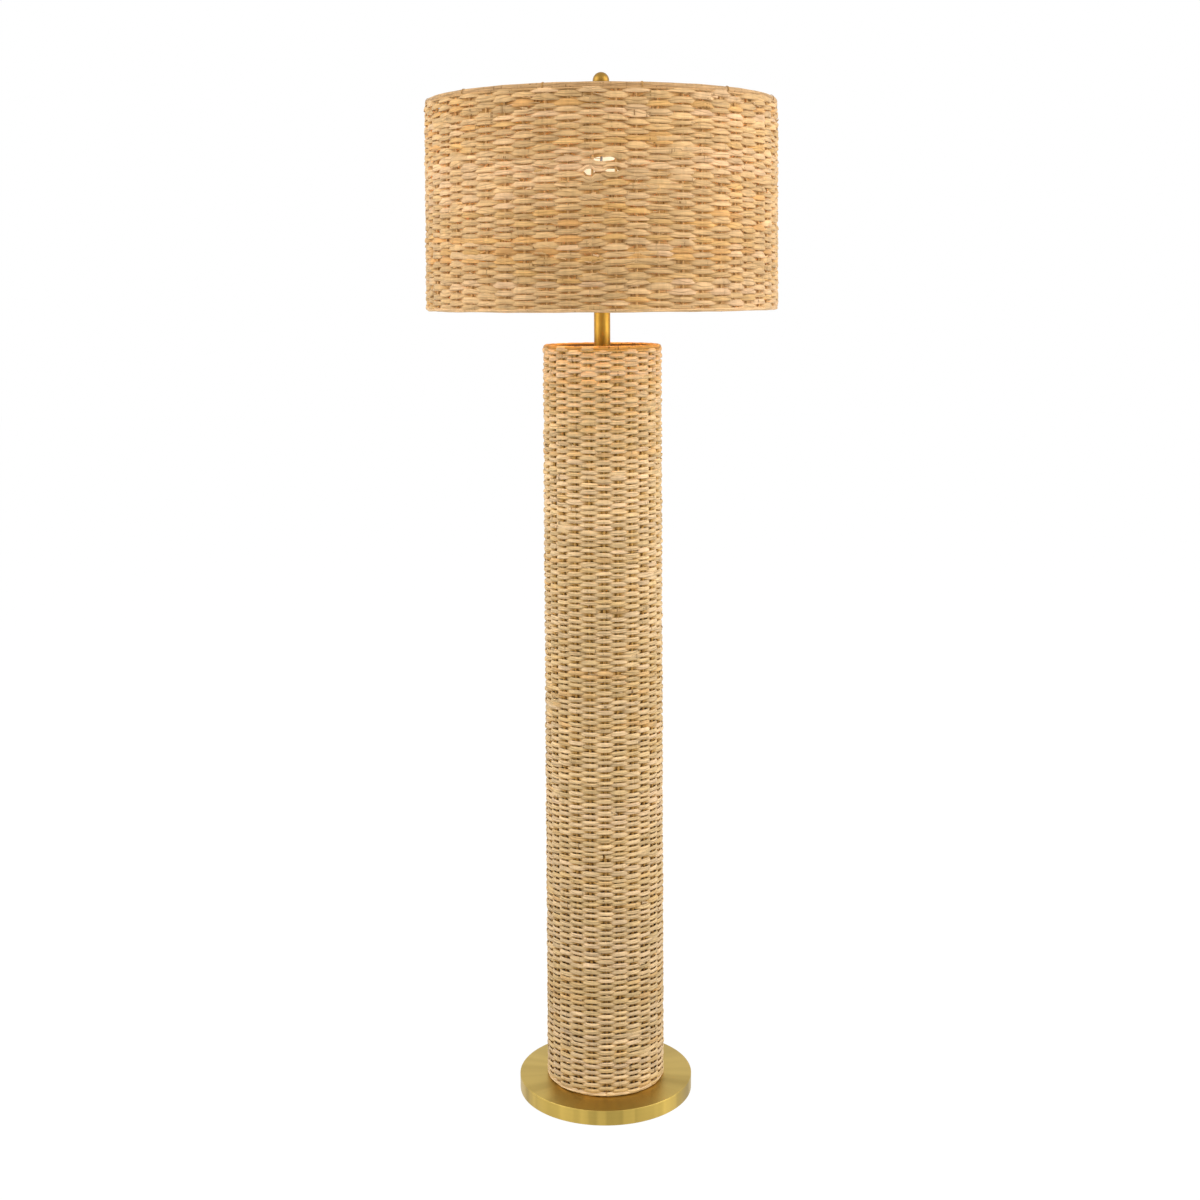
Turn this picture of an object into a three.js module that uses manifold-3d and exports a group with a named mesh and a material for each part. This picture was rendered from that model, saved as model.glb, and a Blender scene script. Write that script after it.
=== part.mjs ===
// Rattan floor lamp: a round brass base, a woven rattan column, a brass neck with a turn-knob
// socket, harp and bulb, and a woven rattan drum shade with a ball finial.
// Millimetres, +Z up. The origin is on the floor, on the lamp's axis. -Y is the front.

import * as THREE from 'three';
import { mergeVertices } from 'three/addons/utils/BufferGeometryUtils.js';
import Module from 'manifold-3d';

const wasm = await Module();
wasm.setup();

// Clearances, and how finely round shapes are divided
const fit = 0.3;
const overrun = 2;
const mergeTolerance = 0.0005;
const drumSegments = 52;
const baseSegments = 52;
const innerSegments = 32;
const smallSegments = 12;
const wireSides = 6;
const stakeSides = 6;

// Threaded pipe that the whole lamp is clamped on, and the lead inside it
const pipeRadius = 4.9;
const pipeWall = 1.4;
const pipeHole = pipeRadius + fit;
const leadRadius = 2.2;
const leadBend = 8;
const leadSides = 8;
const leadSteps = 30;
const nutAcrossFlats = 19;
const nutThickness = 3.2;
const washerRadius = 14;
const washerThickness = 1.6;

// Base: spun cover, iron weight, felt pad and the bushing in the rear wall
const baseRadius = 137;
const baseHeight = 25;
const baseWall = 1.5;
const baseEdge = 1.2;
const baseStandoff = 0.8;
const padThickness = 2;
const padInnerRadius = 70;
const padInset = 6;
const weightGap = 2.6;
const weightRoof = 4.2;
const weightPocketRadius = 24;
const channelWidth = 13;
const channelHeight = 13;
const pipeFootHeight = 12;
const leadFloorHeight = 6;
const bushingHeight = 9;
const bushingBodyRadius = 4;
const bushingFlangeRadius = 6;
const bushingFlange = 2;
const bushingLipRadius = 5;
const bushingLip = 1.2;

// Column: woven wall on upright stakes, rolled borders, foot plate and cap
const columnRadius = 88.3;
const columnFlare = 4.9;
const columnHeight = 1155;
const columnWall = 10.5;
const columnStakeCount = 25;
const columnStakeRadius = 2.2;
const columnBand = 8;
const bandWall = 2;
const hoopHeight = 2.4;
const hoopMargin = 0.4;
const plateThickness = 2;
const plateGap = 0.8;
const capRecess = 8;

// Neck between the column and the socket
const neckHeight = 118;
const neckRadius = 12;
const neckWall = 1.2;
const seatRingRadius = 16;
const seatRingThickness = 2.5;
const collarRadius = 14;
const collarHeight = 5;

// Harp, its saddle and its two locking sleeves
const harpHeight = 222;
const harpHalfWidth = 55;
const harpWireRadius = 1.9;
const harpSteps = 48;
const harpLegStraight = 30;
const saddleHalfWidth = 28;
const saddleWidth = 12;
const saddleThickness = 2;
const saddleEyeRadius = 9;
const prongHeight = 9;
const sleeveLength = 14;
const sleeveWall = 1.2;
const harpPlateRadius = 7;
const harpPlateThickness = 3;
const studRadius = 3.1;
const studHeight = 16;

// Socket
const socketHubRadius = 8;
const socketHubHeight = 6;
const socketHubFloor = 5;
const socketCapHeight = 18;
const socketFlare = 8;
const socketRadius = 16.6;
const socketWall = 0.8;
const socketHeight = 66;
const linerWall = 0.8;
const coreHeight = 15;
const coreClearance = 0.6;
const coreFootGap = 1.5;
const screwShellWall = 0.6;
const screwShellGap = 0.5;
const contactRadius = 3.5;
const contactHeight = 2.5;
const terminalRadius = 2.2;
const terminalLength = 3;
const terminalSpread = 6.5;
const shaftRadius = 1.6;
const shaftHole = 2.2;
const shaftDepth = 6;
const shaftReach = 20;
const shaftHeight = 8;
const knobHubRadius = 4.6;
const knobLength = 11;
const knobPaddleLength = 17;
const knobPaddleWidth = 5;
const knobBoreDepth = 6;

// Bulb
const bulbCapRadius = 13;
const bulbCapHeight = 26;
const bulbCapWall = 0.6;
const bulbCapFloor = 3;
const bulbTipRadius = 4.2;
const bulbTipHeight = 2.6;
const bulbRadius = 32;
const bulbLength = 127;
const glassWall = 0.8;
const glassTuck = 8;
const glassNeck = 12;
const bulbStemRadius = 4;
const bulbStemHeight = 46;
const filamentRadius = 11;
const filamentThickness = 2;

// Shade: woven wall on upright stakes, rolled borders and the wire frame inside
const shadeRadius = 254;
const shadeFlare = 4.7;
const shadeHeight = 297;
const shadeWall = 9.6;
const shadeStakeCount = 52;
const shadeStakeRadius = 1.8;
const shadeTopBand = 9;
const shadeBottomBand = 7;
const shadeBandWall = 1.9;
const spiderRecess = 6;
const spiderHubRadius = 9;
const spiderHubThickness = 2;
const spiderArmCount = 3;
const spiderArmTurn = Math.PI / 6;
const frameWireRadius = 2;
const frameRibRadius = 1.6;
const frameRibCount = 6;
const frameRingGap = 0.4;
const frameRingInset = 5;
const frameSegments = 36;

// Finial
const finialRadius = 12;
const finialReach = 35;
const finialFootRadius = 7;
const finialFootHeight = 5;
const finialWaistRadius = 4.8;
const finialBoreDepth = 18;
const finialArcSteps = 9;

// Heights worked out from the sizes above
const columnTop = baseHeight + columnHeight;
const capTop = columnTop - capRecess;
const neckTop = capTop + neckHeight;
const saddleHeight = neckTop + fit + collarHeight + fit;
const socketFoot = saddleThickness + fit;
const harpTop = saddleHeight + harpHeight;
const hubFoot = harpTop + fit;
const shadeTop = hubFoot + spiderHubThickness + spiderRecess;
const shadeFoot = shadeTop - shadeHeight;
const pipeTop = saddleHeight + socketFoot + socketHubFloor;
const coreFoot = socketFoot + socketCapHeight + coreFootGap;
const coreTop = coreFoot + coreHeight;
const screwShellFoot = coreTop + fit;
const bulbTip = saddleHeight + screwShellFoot + screwShellWall + contactHeight + fit;
const columnStakeCircle = columnRadius - columnWall / 2;
const shadeStakeCircle = shadeRadius - shadeWall / 2;
const linerRadius = socketRadius - socketWall - fit;
const coreRadius = linerRadius - linerWall - coreClearance;
const screwShellInner = bulbCapRadius + screwShellGap;

// Materials
function finish(color, roughness, metalness) {
  return new THREE.MeshStandardMaterial({ color, roughness, metalness, flatShading: true });
}
const brass = finish(0xb9975a, 0.35, 1);
const steel = finish(0xa8a8a6, 0.35, 1);
const iron = finish(0x4a4a4c, 0.8, 0.6);
const felt = finish(0x5d4a36, 0.95, 0);
const blackPlastic = finish(0x1d1c1b, 0.5, 0);
const columnRattan = finish(0xc9a168, 0.6, 0);
const shadeRattan = finish(0xd2a873, 0.6, 0);
const rattanStake = finish(0xd9b884, 0.65, 0);
const cardboard = finish(0xb09468, 0.9, 0);
const aluminium = finish(0xc8c9ca, 0.4, 1);
const leadSheath = finish(0x7a5a33, 0.6, 0);
const bulbGlassFinish = finish(0xf7efe0, 0.2, 0);
const filamentFinish = finish(0xffe2ae, 0.5, 0);

// Closed three.js geometry to a solid that can be cut and joined, and back
function toSolid(geometry) {
  const bare = new THREE.BufferGeometry();
  bare.setAttribute('position', geometry.getAttribute('position'));
  bare.setIndex(geometry.getIndex());
  const merged = mergeVertices(bare, mergeTolerance);
  const corners = merged.getIndex().array;
  const kept = [];
  for (let i = 0; i < corners.length; i += 3) {
    const [a, b, c] = [corners[i], corners[i + 1], corners[i + 2]];
    if (a !== b && b !== c && c !== a) kept.push(a, b, c);
  }
  return new wasm.Manifold(new wasm.Mesh({
    numProp: 3,
    vertProperties: new Float32Array(merged.getAttribute('position').array),
    triVerts: new Uint32Array(kept),
  }));
}

function toGeometry(solid) {
  const mesh = solid.getMesh();
  const geometry = new THREE.BufferGeometry();
  geometry.setAttribute('position', new THREE.BufferAttribute(new Float32Array(mesh.vertProperties), 3));
  geometry.setIndex(new THREE.BufferAttribute(new Uint32Array(mesh.triVerts), 1));
  geometry.computeVertexNormals();
  return geometry;
}

// A profile of [radius, height] points, counter-clockwise, turned about the Z axis
function revolve(profile, segments) {
  const points = profile.map(([radius, height]) => new THREE.Vector2(radius, height));
  const geometry = new THREE.LatheGeometry(points, segments);
  geometry.rotateX(Math.PI / 2);
  return toSolid(geometry);
}

function disc(radius, foot, height, segments) {
  return revolve([[0, foot], [radius, foot], [radius, foot + height], [0, foot + height]], segments);
}

function ring(outer, inner, foot, height, segments) {
  const top = foot + height;
  return revolve([[inner, foot], [outer, foot], [outer, top], [inner, top], [inner, foot]], segments);
}

// A round wire bent into a ring about the Z axis
function hoop(circle, wire, height, segments) {
  const profile = [];
  for (let i = 0; i <= wireSides; i += 1) {
    const turn = (2 * Math.PI * i) / wireSides;
    profile.push([circle + wire * Math.cos(turn), height + wire * Math.sin(turn)]);
  }
  return revolve(profile, segments);
}

function polygonShape(radius, sides) {
  const shape = new THREE.Shape();
  for (let i = 0; i < sides; i += 1) {
    const turn = (2 * Math.PI * i) / sides;
    if (i === 0) shape.moveTo(radius, 0);
    else shape.lineTo(radius * Math.cos(turn), radius * Math.sin(turn));
  }
  shape.closePath();
  return shape;
}

function wireAlong(curve, radius, sides, steps) {
  const options = { steps, bevelEnabled: false, extrudePath: curve };
  return toSolid(new THREE.ExtrudeGeometry(polygonShape(radius, sides), options));
}

function upright(radius, sides, foot, height) {
  const options = { depth: height, bevelEnabled: false };
  const geometry = new THREE.ExtrudeGeometry(polygonShape(radius, sides), options);
  geometry.translate(0, 0, foot);
  return toSolid(geometry);
}

function straightWire(from, to, radius) {
  return wireAlong(new THREE.LineCurve3(from, to), radius, wireSides, 1);
}

// A copy of a solid turned from the Z axis to the given azimuth at the given radius
function aroundAxis(solid, radius, turn) {
  return solid.translate([radius, 0, 0]).rotate([0, 0, THREE.MathUtils.radToDeg(turn)]);
}

// A solid widened evenly from the top down, so that a wall of the given radius gains the flare at its foot
function flared(solid, radius, flare, foot, top) {
  return solid.warp((point) => {
    const spread = 1 + (flare / radius) * ((top - point[2]) / (top - foot));
    point[0] *= spread;
    point[1] *= spread;
  });
}

function ringOf(solid, radius, count, startTurn) {
  const copies = [];
  for (let i = 0; i < count; i += 1) {
    copies.push(aroundAxis(solid, radius, startTurn + (2 * Math.PI * i) / count));
  }
  return wasm.Manifold.union(copies);
}

function hexNut(acrossFlats, hole, foot, thickness) {
  const cornerRadius = acrossFlats / Math.sqrt(3);
  const body = upright(cornerRadius, 6, foot, thickness);
  return body.subtract(disc(hole, foot - overrun, thickness + 2 * overrun, smallSegments));
}

const lamp = new THREE.Group();

function section(name, height) {
  const group = new THREE.Group();
  group.name = name;
  group.position.z = height;
  lamp.add(group);
  return group;
}

function place(group, name, solid, material) {
  const mesh = new THREE.Mesh(toGeometry(solid), material);
  mesh.name = name;
  group.add(mesh);
  return mesh;
}

// Base
const base = section('base', 0);
const coverInner = baseRadius - baseWall;
const coverRoof = baseHeight - baseWall;
const weightRadius = coverInner - weightGap;
const weightFoot = padThickness + fit;
const weightTop = coverRoof - fit;
const pocketRoof = weightTop - weightRoof;

function bushingHole(radius, from, length) {
  const cut = disc(radius, 0, length, smallSegments).rotate([-90, 0, 0]);
  return cut.translate([0, from, bushingHeight]);
}

function baseCover() {
  const shell = revolve([
    [pipeHole, coverRoof],
    [coverInner, coverRoof],
    [coverInner, baseStandoff],
    [baseRadius, baseStandoff],
    [baseRadius, baseHeight - baseEdge],
    [baseRadius - baseEdge / 4, baseHeight - baseEdge / 4],
    [baseRadius - baseEdge, baseHeight],
    [pipeHole, baseHeight],
    [pipeHole, coverRoof],
  ], baseSegments);
  const hole = bushingHole(bushingBodyRadius + fit, coverInner - overrun, baseWall + 2 * overrun);
  return shell.subtract(hole);
}

function baseWeight() {
  const body = revolve([
    [pipeHole, pocketRoof],
    [weightPocketRadius, pocketRoof],
    [weightPocketRadius, weightFoot],
    [weightRadius, weightFoot],
    [weightRadius, weightTop],
    [pipeHole, weightTop],
    [pipeHole, pocketRoof],
  ], innerSegments);
  const cut = new THREE.BoxGeometry(channelWidth, baseRadius, channelHeight + overrun);
  cut.translate(0, baseRadius / 2 + pipeHole, weightFoot + channelHeight / 2 - overrun / 2);
  return body.subtract(toSolid(cut));
}

function cordBushing() {
  const bore = leadRadius + fit;
  const wallOut = baseRadius + fit;
  const wallIn = coverInner - fit - bushingLip;
  const flangeOut = wallOut + bushingFlange;
  const profile = [
    [bore, wallIn],
    [bushingLipRadius, wallIn],
    [bushingLipRadius, wallIn + bushingLip],
    [bushingBodyRadius, wallIn + bushingLip],
    [bushingBodyRadius, wallOut],
    [bushingFlangeRadius, wallOut],
    [bushingFlangeRadius, flangeOut - bushingFlange / 2],
    [bushingFlangeRadius - bushingFlange / 2, flangeOut],
    [bore, flangeOut],
    [bore, wallIn],
  ];
  return revolve(profile, smallSegments).rotate([-90, 0, 0]).translate([0, 0, bushingHeight]);
}

// The lead's way in from the bushing: shares of its run to the rear, and of its rise to the bushing
const leadRouteShares = [[1, 1], [0.94, 1], [0.88, 1], [0.76, 0.85], [0.62, 0.4], [0.48, 0.05], [0.36, 0], [0.2, 0]];

// The lead comes along the channel, turns up into the pipe and ends under the socket's core
function innerLead() {
  const rearRun = baseRadius + fit + bushingFlange - leadBend;
  const rise = bushingHeight - leadFloorHeight;
  const route = leadRouteShares.map(([run, lift]) => (
    new THREE.Vector3(0, leadBend + rearRun * run, leadFloorHeight + rise * lift)));
  const bendStart = new THREE.Vector3(0, leadBend, leadFloorHeight);
  const bendTop = new THREE.Vector3(0, 0, leadFloorHeight + leadBend);
  const path = new THREE.CurvePath();
  path.add(new THREE.CatmullRomCurve3([...route, bendStart]));
  path.add(new THREE.QuadraticBezierCurve3(bendStart, new THREE.Vector3(0, 0, leadFloorHeight), bendTop));
  const bends = wireAlong(path, leadRadius, leadSides, leadSteps);
  const topEnd = saddleHeight + coreFoot - fit;
  return bends.add(upright(leadRadius, leadSides, bendTop.z - fit, topEnd - bendTop.z + fit));
}

place(base, 'base_pad', ring(weightRadius - padInset, padInnerRadius, 0, padThickness, innerSegments), felt);
place(base, 'base_weight', baseWeight(), iron);
place(base, 'base_cover', baseCover(), brass);
const washerFoot = pocketRoof - fit - washerThickness;
place(base, 'base_washer', ring(washerRadius, pipeHole, washerFoot, washerThickness, smallSegments), steel);
const baseNutFoot = washerFoot - fit - nutThickness;
place(base, 'base_nut', hexNut(nutAcrossFlats, pipeHole, baseNutFoot, nutThickness), brass);
place(base, 'cord_bushing', cordBushing(), blackPlastic);
place(base, 'inner_lead', innerLead(), leadSheath);
const pipeLength = pipeTop - pipeFootHeight;
const pipe = ring(pipeRadius, pipeRadius - pipeWall, pipeFootHeight, pipeLength, smallSegments);
place(base, 'stem_pipe', pipe, steel);

// Column, with heights from the top of the base
const column = section('column', baseHeight);
const columnInner = columnRadius - columnWall;
const plateRadius = columnInner - plateGap;

// A rolled border: a channel that takes the stake ends, open towards the weave
function borderUp(radius, wall, skin, foot, height) {
  const inner = radius - wall;
  return revolve([
    [inner, foot],
    [radius, foot],
    [radius, foot + height],
    [radius - skin, foot + height],
    [radius - skin, foot + skin],
    [inner + skin, foot + skin],
    [inner + skin, foot + height],
    [inner, foot + height],
    [inner, foot],
  ], drumSegments);
}

function borderDown(radius, wall, skin, foot, height) {
  const inner = radius - wall;
  const top = foot + height;
  return revolve([
    [inner, foot],
    [inner + skin, foot],
    [inner + skin, top - skin],
    [radius - skin, top - skin],
    [radius - skin, foot],
    [radius, foot],
    [radius, top],
    [inner, top],
    [inner, foot],
  ], drumSegments);
}

// Upright stakes joined by a flat hoop at each end
function stakeCage(circle, radius, count, foot, top) {
  const reach = radius + hoopMargin;
  const low = ring(circle + reach, circle - reach, foot, hoopHeight, drumSegments);
  const high = ring(circle + reach, circle - reach, top - hoopHeight, hoopHeight, drumSegments);
  const stake = upright(radius, stakeSides, foot + hoopHeight / 2, top - foot - hoopHeight);
  return ringOf(stake, circle, count, -Math.PI / 2).add(low).add(high);
}

function wovenWall(radius, wall, circle, stakeHole, count, foot, top) {
  const sleeve = ring(radius, radius - wall, foot, top - foot, drumSegments);
  const bore = upright(stakeHole, stakeSides, foot - overrun, top - foot + 2 * overrun);
  return sleeve.subtract(ringOf(bore, circle, count, -Math.PI / 2));
}

function columnFlared(solid) {
  return flared(solid, columnRadius, columnFlare, 0, columnHeight);
}

const footPlateFoot = fit;
const footNutFoot = footPlateFoot + plateThickness + fit;
const plateReach = plateRadius * (1 + columnFlare / columnRadius);
place(column, 'column_foot_plate',
  ring(plateReach, pipeHole, footPlateFoot, plateThickness, innerSegments), steel);
place(column, 'foot_nut', hexNut(nutAcrossFlats, pipeHole, footNutFoot, nutThickness), brass);
const columnFootRim = borderUp(columnRadius, columnWall, bandWall, fit, columnBand);
const columnTopRim = borderDown(columnRadius, columnWall, bandWall, columnHeight - columnBand, columnBand);
const columnCage = stakeCage(columnStakeCircle, columnStakeRadius, columnStakeCount,
  fit + bandWall + fit, columnHeight - bandWall - fit);
const columnWeave = wovenWall(columnRadius, columnWall, columnStakeCircle, columnStakeRadius + fit,
  columnStakeCount, fit + columnBand + fit, columnHeight - columnBand - fit);
place(column, 'column_bottom_band', columnFlared(columnFootRim), columnRattan);
place(column, 'column_top_band', columnFlared(columnTopRim), columnRattan);
place(column, 'column_stakes', columnFlared(columnCage), rattanStake);
place(column, 'column_weave', columnFlared(columnWeave), columnRattan);
const capFoot = columnHeight - capRecess - plateThickness;
place(column, 'cap_nut',
  hexNut(nutAcrossFlats, pipeHole, capFoot - fit - nutThickness, nutThickness), brass);
place(column, 'column_cap', ring(plateRadius, pipeHole, capFoot, plateThickness, innerSegments), brass);

// Neck, with heights from the top of the column cap
const neck = section('neck', capTop);
const neckFoot = fit + seatRingThickness + fit;
place(neck, 'neck_seat_ring',
  ring(seatRingRadius, pipeHole, fit, seatRingThickness, smallSegments), brass);
place(neck, 'neck_tube',
  ring(neckRadius, neckRadius - neckWall, neckFoot, neckHeight - neckFoot, smallSegments * 2), brass);
place(neck, 'neck_collar', revolve([
  [pipeHole, neckHeight + fit],
  [collarRadius, neckHeight + fit],
  [collarRadius, neckHeight + fit + collarHeight / 2],
  [collarRadius - collarHeight / 2, neckHeight + fit + collarHeight],
  [pipeHole, neckHeight + fit + collarHeight],
  [pipeHole, neckHeight + fit],
], smallSegments), brass);

// Harp and socket, with heights from the underside of the harp saddle
const light = section('light', saddleHeight);
const prongTop = saddleThickness + prongHeight;
const legFoot = prongTop + fit;
const sleeveFoot = saddleThickness + fit;
const sleeveInner = harpWireRadius + fit;

function harpSaddle() {
  const barGeometry = new THREE.BoxGeometry(
    2 * (saddleHalfWidth + saddleWidth / 3), saddleWidth, saddleThickness);
  barGeometry.translate(0, 0, saddleThickness / 2);
  const eye = disc(saddleEyeRadius, 0, saddleThickness, smallSegments);
  const prong = upright(harpWireRadius, wireSides, saddleThickness / 2, prongTop - saddleThickness / 2);
  const prongs = ringOf(prong, saddleHalfWidth, 2, 0);
  const hole = disc(pipeHole, -overrun, saddleThickness + 2 * overrun, smallSegments);
  return toSolid(barGeometry).add(eye).add(prongs).subtract(hole);
}

// Half the harp's outline as shares of its half width and of its rise above the straight legs
const harpOutlineShares = [[0.72, 0.12], [0.93, 0.3], [1, 0.5], [0.93, 0.72], [0.68, 0.89], [0.3, 0.98]];

function harpBow() {
  const wireTop = harpHeight - harpPlateThickness;
  const bowFoot = legFoot + harpLegStraight;
  const right = [];
  for (let i = 0; i <= 3; i += 1) {
    right.push([saddleHalfWidth, legFoot + (harpLegStraight * i) / 3]);
  }
  for (const [across, rise] of harpOutlineShares) {
    right.push([harpHalfWidth * across, bowFoot + (wireTop - bowFoot) * rise]);
  }
  const left = right.slice().reverse().map(([x, z]) => [-x, z]);
  const outline = [...right, [0, wireTop], ...left];
  const curve = new THREE.CatmullRomCurve3(outline.map(([x, z]) => new THREE.Vector3(x, 0, z)));
  const wire = wireAlong(curve, harpWireRadius, wireSides, harpSteps);
  const plate = disc(harpPlateRadius, wireTop, harpPlateThickness, smallSegments);
  const stud = disc(studRadius, wireTop, harpPlateThickness + studHeight, smallSegments);
  return wire.add(plate).add(stud);
}

place(light, 'harp_saddle', harpSaddle(), steel);
place(light, 'harp', harpBow(), steel);
for (const [side, x] of [['left', -saddleHalfWidth], ['right', saddleHalfWidth]]) {
  const sleeve = ring(sleeveInner + sleeveWall, sleeveInner, 0, sleeveLength, smallSegments);
  const mesh = place(light, `harp_sleeve_${side}`, sleeve, brass);
  mesh.position.set(x, 0, sleeveFoot);
}

const capRim = socketFoot + socketCapHeight;
const shellFoot = capRim + fit;
const shellTop = socketFoot + socketHeight;
const linerFoot = shellFoot + fit;
const screwShellTop = shellTop - socketWall;
const shaftLevel = coreFoot + shaftHeight;

function socketCap() {
  const inner = socketRadius - socketWall;
  const flareTop = socketFoot + socketHubHeight + socketFlare;
  return revolve([
    [pipeHole, socketFoot],
    [socketHubRadius, socketFoot],
    [socketHubRadius, socketFoot + socketHubHeight],
    [socketRadius, flareTop],
    [socketRadius, capRim],
    [inner, capRim],
    [inner, flareTop + socketWall],
    [socketHubRadius, socketFoot + socketHubHeight + socketWall],
    [pipeHole, socketFoot + socketHubHeight + socketWall],
    [pipeHole, socketFoot],
  ], smallSegments);
}

function sideHole(radius) {
  const cut = disc(radius, 0, socketRadius + overrun, smallSegments).rotate([90, 0, 0]);
  return cut.translate([0, 0, shaftLevel]);
}

function socketCore() {
  const body = disc(coreRadius, coreFoot, coreHeight, smallSegments);
  const well = disc(shaftRadius + fit, 0, shaftDepth + overrun, smallSegments).rotate([90, 0, 0]);
  const wellFrom = -(coreRadius - shaftDepth);
  return body.subtract(well.translate([0, wellFrom, shaftLevel]));
}

function screwShell() {
  const outer = screwShellInner + screwShellWall;
  const floor = screwShellFoot + screwShellWall;
  return revolve([
    [contactRadius + fit, screwShellFoot],
    [outer, screwShellFoot],
    [outer, screwShellTop],
    [screwShellInner, screwShellTop],
    [screwShellInner, floor],
    [contactRadius + fit, floor],
    [contactRadius + fit, screwShellFoot],
  ], smallSegments * 2);
}

place(light, 'socket_cap', socketCap(), brass);
place(light, 'socket_shell', ring(socketRadius, socketRadius - socketWall, shellFoot, shellTop - shellFoot,
  smallSegments * 2).subtract(sideHole(shaftHole)), brass);
place(light, 'socket_liner', ring(linerRadius, linerRadius - linerWall, linerFoot, shellTop - linerFoot,
  smallSegments * 2).subtract(sideHole(shaftHole)), cardboard);
place(light, 'socket_core', socketCore(), blackPlastic);
place(light, 'screw_shell', screwShell(), aluminium);
place(light, 'center_contact',
  disc(contactRadius, coreTop + fit, screwShellWall + contactHeight, smallSegments), brass);
for (const [number, side] of [[1, -1], [2, 1]]) {
  const screw = disc(terminalRadius, 0, terminalLength, smallSegments);
  const mesh = place(light, `terminal_screw_${number}`, screw, number === 1 ? brass : steel);
  mesh.position.set(side * terminalSpread, 0, coreFoot - fit - terminalLength);
}

// The switch shaft and knob point to the front, along -Y
function switchKnob() {
  const hub = disc(knobHubRadius, 0, knobLength, smallSegments);
  const paddleGeometry = new THREE.BoxGeometry(knobPaddleLength, knobPaddleWidth, knobLength - fit);
  paddleGeometry.translate(0, 0, (knobLength + fit) / 2);
  const bore = disc(shaftRadius + fit, -overrun, knobBoreDepth + overrun, smallSegments);
  return hub.add(toSolid(paddleGeometry)).subtract(bore);
}

const shaftStart = coreRadius - shaftDepth + fit;
const shaftEnd = socketRadius + shaftReach;
const knobStart = shaftEnd - knobBoreDepth + fit;
const shaft = place(light, 'switch_shaft', disc(shaftRadius, 0, shaftEnd - shaftStart, smallSegments), brass);
shaft.rotation.x = Math.PI / 2;
shaft.position.set(0, -shaftStart, shaftLevel);
const knob = place(light, 'switch_knob', switchKnob(), blackPlastic);
knob.rotation.x = Math.PI / 2;
knob.position.set(0, -knobStart, shaftLevel);

// Bulb, with heights from the tip of its centre contact
const bulb = section('bulb', bulbTip);
const bulbCapTop = bulbTipHeight + bulbCapHeight;
const glassFoot = bulbCapTop - glassTuck;
const glassRadiusAtNeck = bulbCapRadius - bulbCapWall - fit;
const globeCentre = bulbLength - bulbRadius;

// The bulb's outline from its neck to its crown, drawn in by the given wall
function bulbProfile(inset, foot) {
  const neckRun = glassRadiusAtNeck - inset;
  const globe = bulbRadius - inset;
  const neckEnd = bulbCapTop + glassNeck;
  const shoulder = -Math.PI / 7;
  const meet = new THREE.Vector2(globe * Math.cos(shoulder), globeCentre + globe * Math.sin(shoulder));
  const lift = (meet.y - neckEnd) / 2;
  const flare = new THREE.CubicBezierCurve(
    new THREE.Vector2(neckRun, neckEnd),
    new THREE.Vector2(neckRun, neckEnd + lift),
    new THREE.Vector2(meet.x + lift * Math.sin(shoulder), meet.y - lift * Math.cos(shoulder)),
    meet,
  );
  const profile = [[0, foot], [neckRun, foot]];
  for (const point of flare.getPoints(4)) profile.push([point.x, point.y]);
  const crownSteps = 7;
  for (let i = 1; i < crownSteps; i += 1) {
    const turn = shoulder + ((Math.PI / 2 - shoulder) * i) / crownSteps;
    profile.push([globe * Math.cos(turn), globeCentre + globe * Math.sin(turn)]);
  }
  profile.push([0, globeCentre + globe]);
  return profile;
}

function bulbGlass() {
  const outer = revolve(bulbProfile(0, glassFoot), smallSegments * 1.5);
  const inner = revolve(bulbProfile(glassWall, glassFoot - overrun), smallSegments * 1.5);
  return outer.subtract(inner);
}

function bulbStem() {
  const foot = bulbTipHeight + bulbCapFloor + fit;
  const top = foot + bulbStemHeight;
  return revolve([
    [0, foot],
    [bulbStemRadius, foot],
    [bulbStemRadius, top],
    [filamentRadius, top],
    [filamentRadius, top + filamentThickness],
    [0, top + filamentThickness],
  ], smallSegments);
}

place(bulb, 'bulb_contact', disc(bulbTipRadius, 0, bulbTipHeight + bulbCapFloor / 2, smallSegments), brass);
place(bulb, 'bulb_cap', revolve([
  [bulbTipRadius + fit, bulbTipHeight],
  [bulbCapRadius - bulbCapFloor, bulbTipHeight],
  [bulbCapRadius, bulbTipHeight + bulbCapFloor],
  [bulbCapRadius, bulbCapTop],
  [bulbCapRadius - bulbCapWall, bulbCapTop],
  [bulbCapRadius - bulbCapWall, bulbTipHeight + bulbCapFloor],
  [bulbTipRadius + fit, bulbTipHeight + bulbCapFloor],
  [bulbTipRadius + fit, bulbTipHeight],
], smallSegments * 1.5), aluminium);
place(bulb, 'bulb_glass', bulbGlass(), bulbGlassFinish);
place(bulb, 'bulb_stem', bulbStem(), filamentFinish);

// Shade, with heights from the underside of the spider hub
const shade = section('shade', hubFoot);
const shadeRim = shadeTop - hubFoot;
const shadeHem = shadeFoot - hubFoot;
const frameRingRadius = shadeRadius - shadeWall - frameRingGap - frameWireRadius;
const frameTop = shadeRim - frameRingInset;
const frameFoot = shadeHem + frameRingInset;

// Hub on the harp's stud and arms that reach the cage's upper ring
function shadeSpider() {
  const hubMiddle = spiderHubThickness / 2;
  const hub = disc(spiderHubRadius, 0, spiderHubThickness, smallSegments);
  const tip = frameRingRadius - frameWireRadius - fit;
  const start = new THREE.Vector3(finialFootRadius + 2 * fit, 0, hubMiddle);
  const arm = straightWire(start, new THREE.Vector3(tip, 0, frameTop), frameWireRadius);
  const arms = ringOf(arm, 0, spiderArmCount, spiderArmTurn);
  const hole = disc(studRadius + fit, -overrun, spiderHubThickness + 2 * overrun, smallSegments);
  return hub.add(arms).subtract(hole);
}

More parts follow.
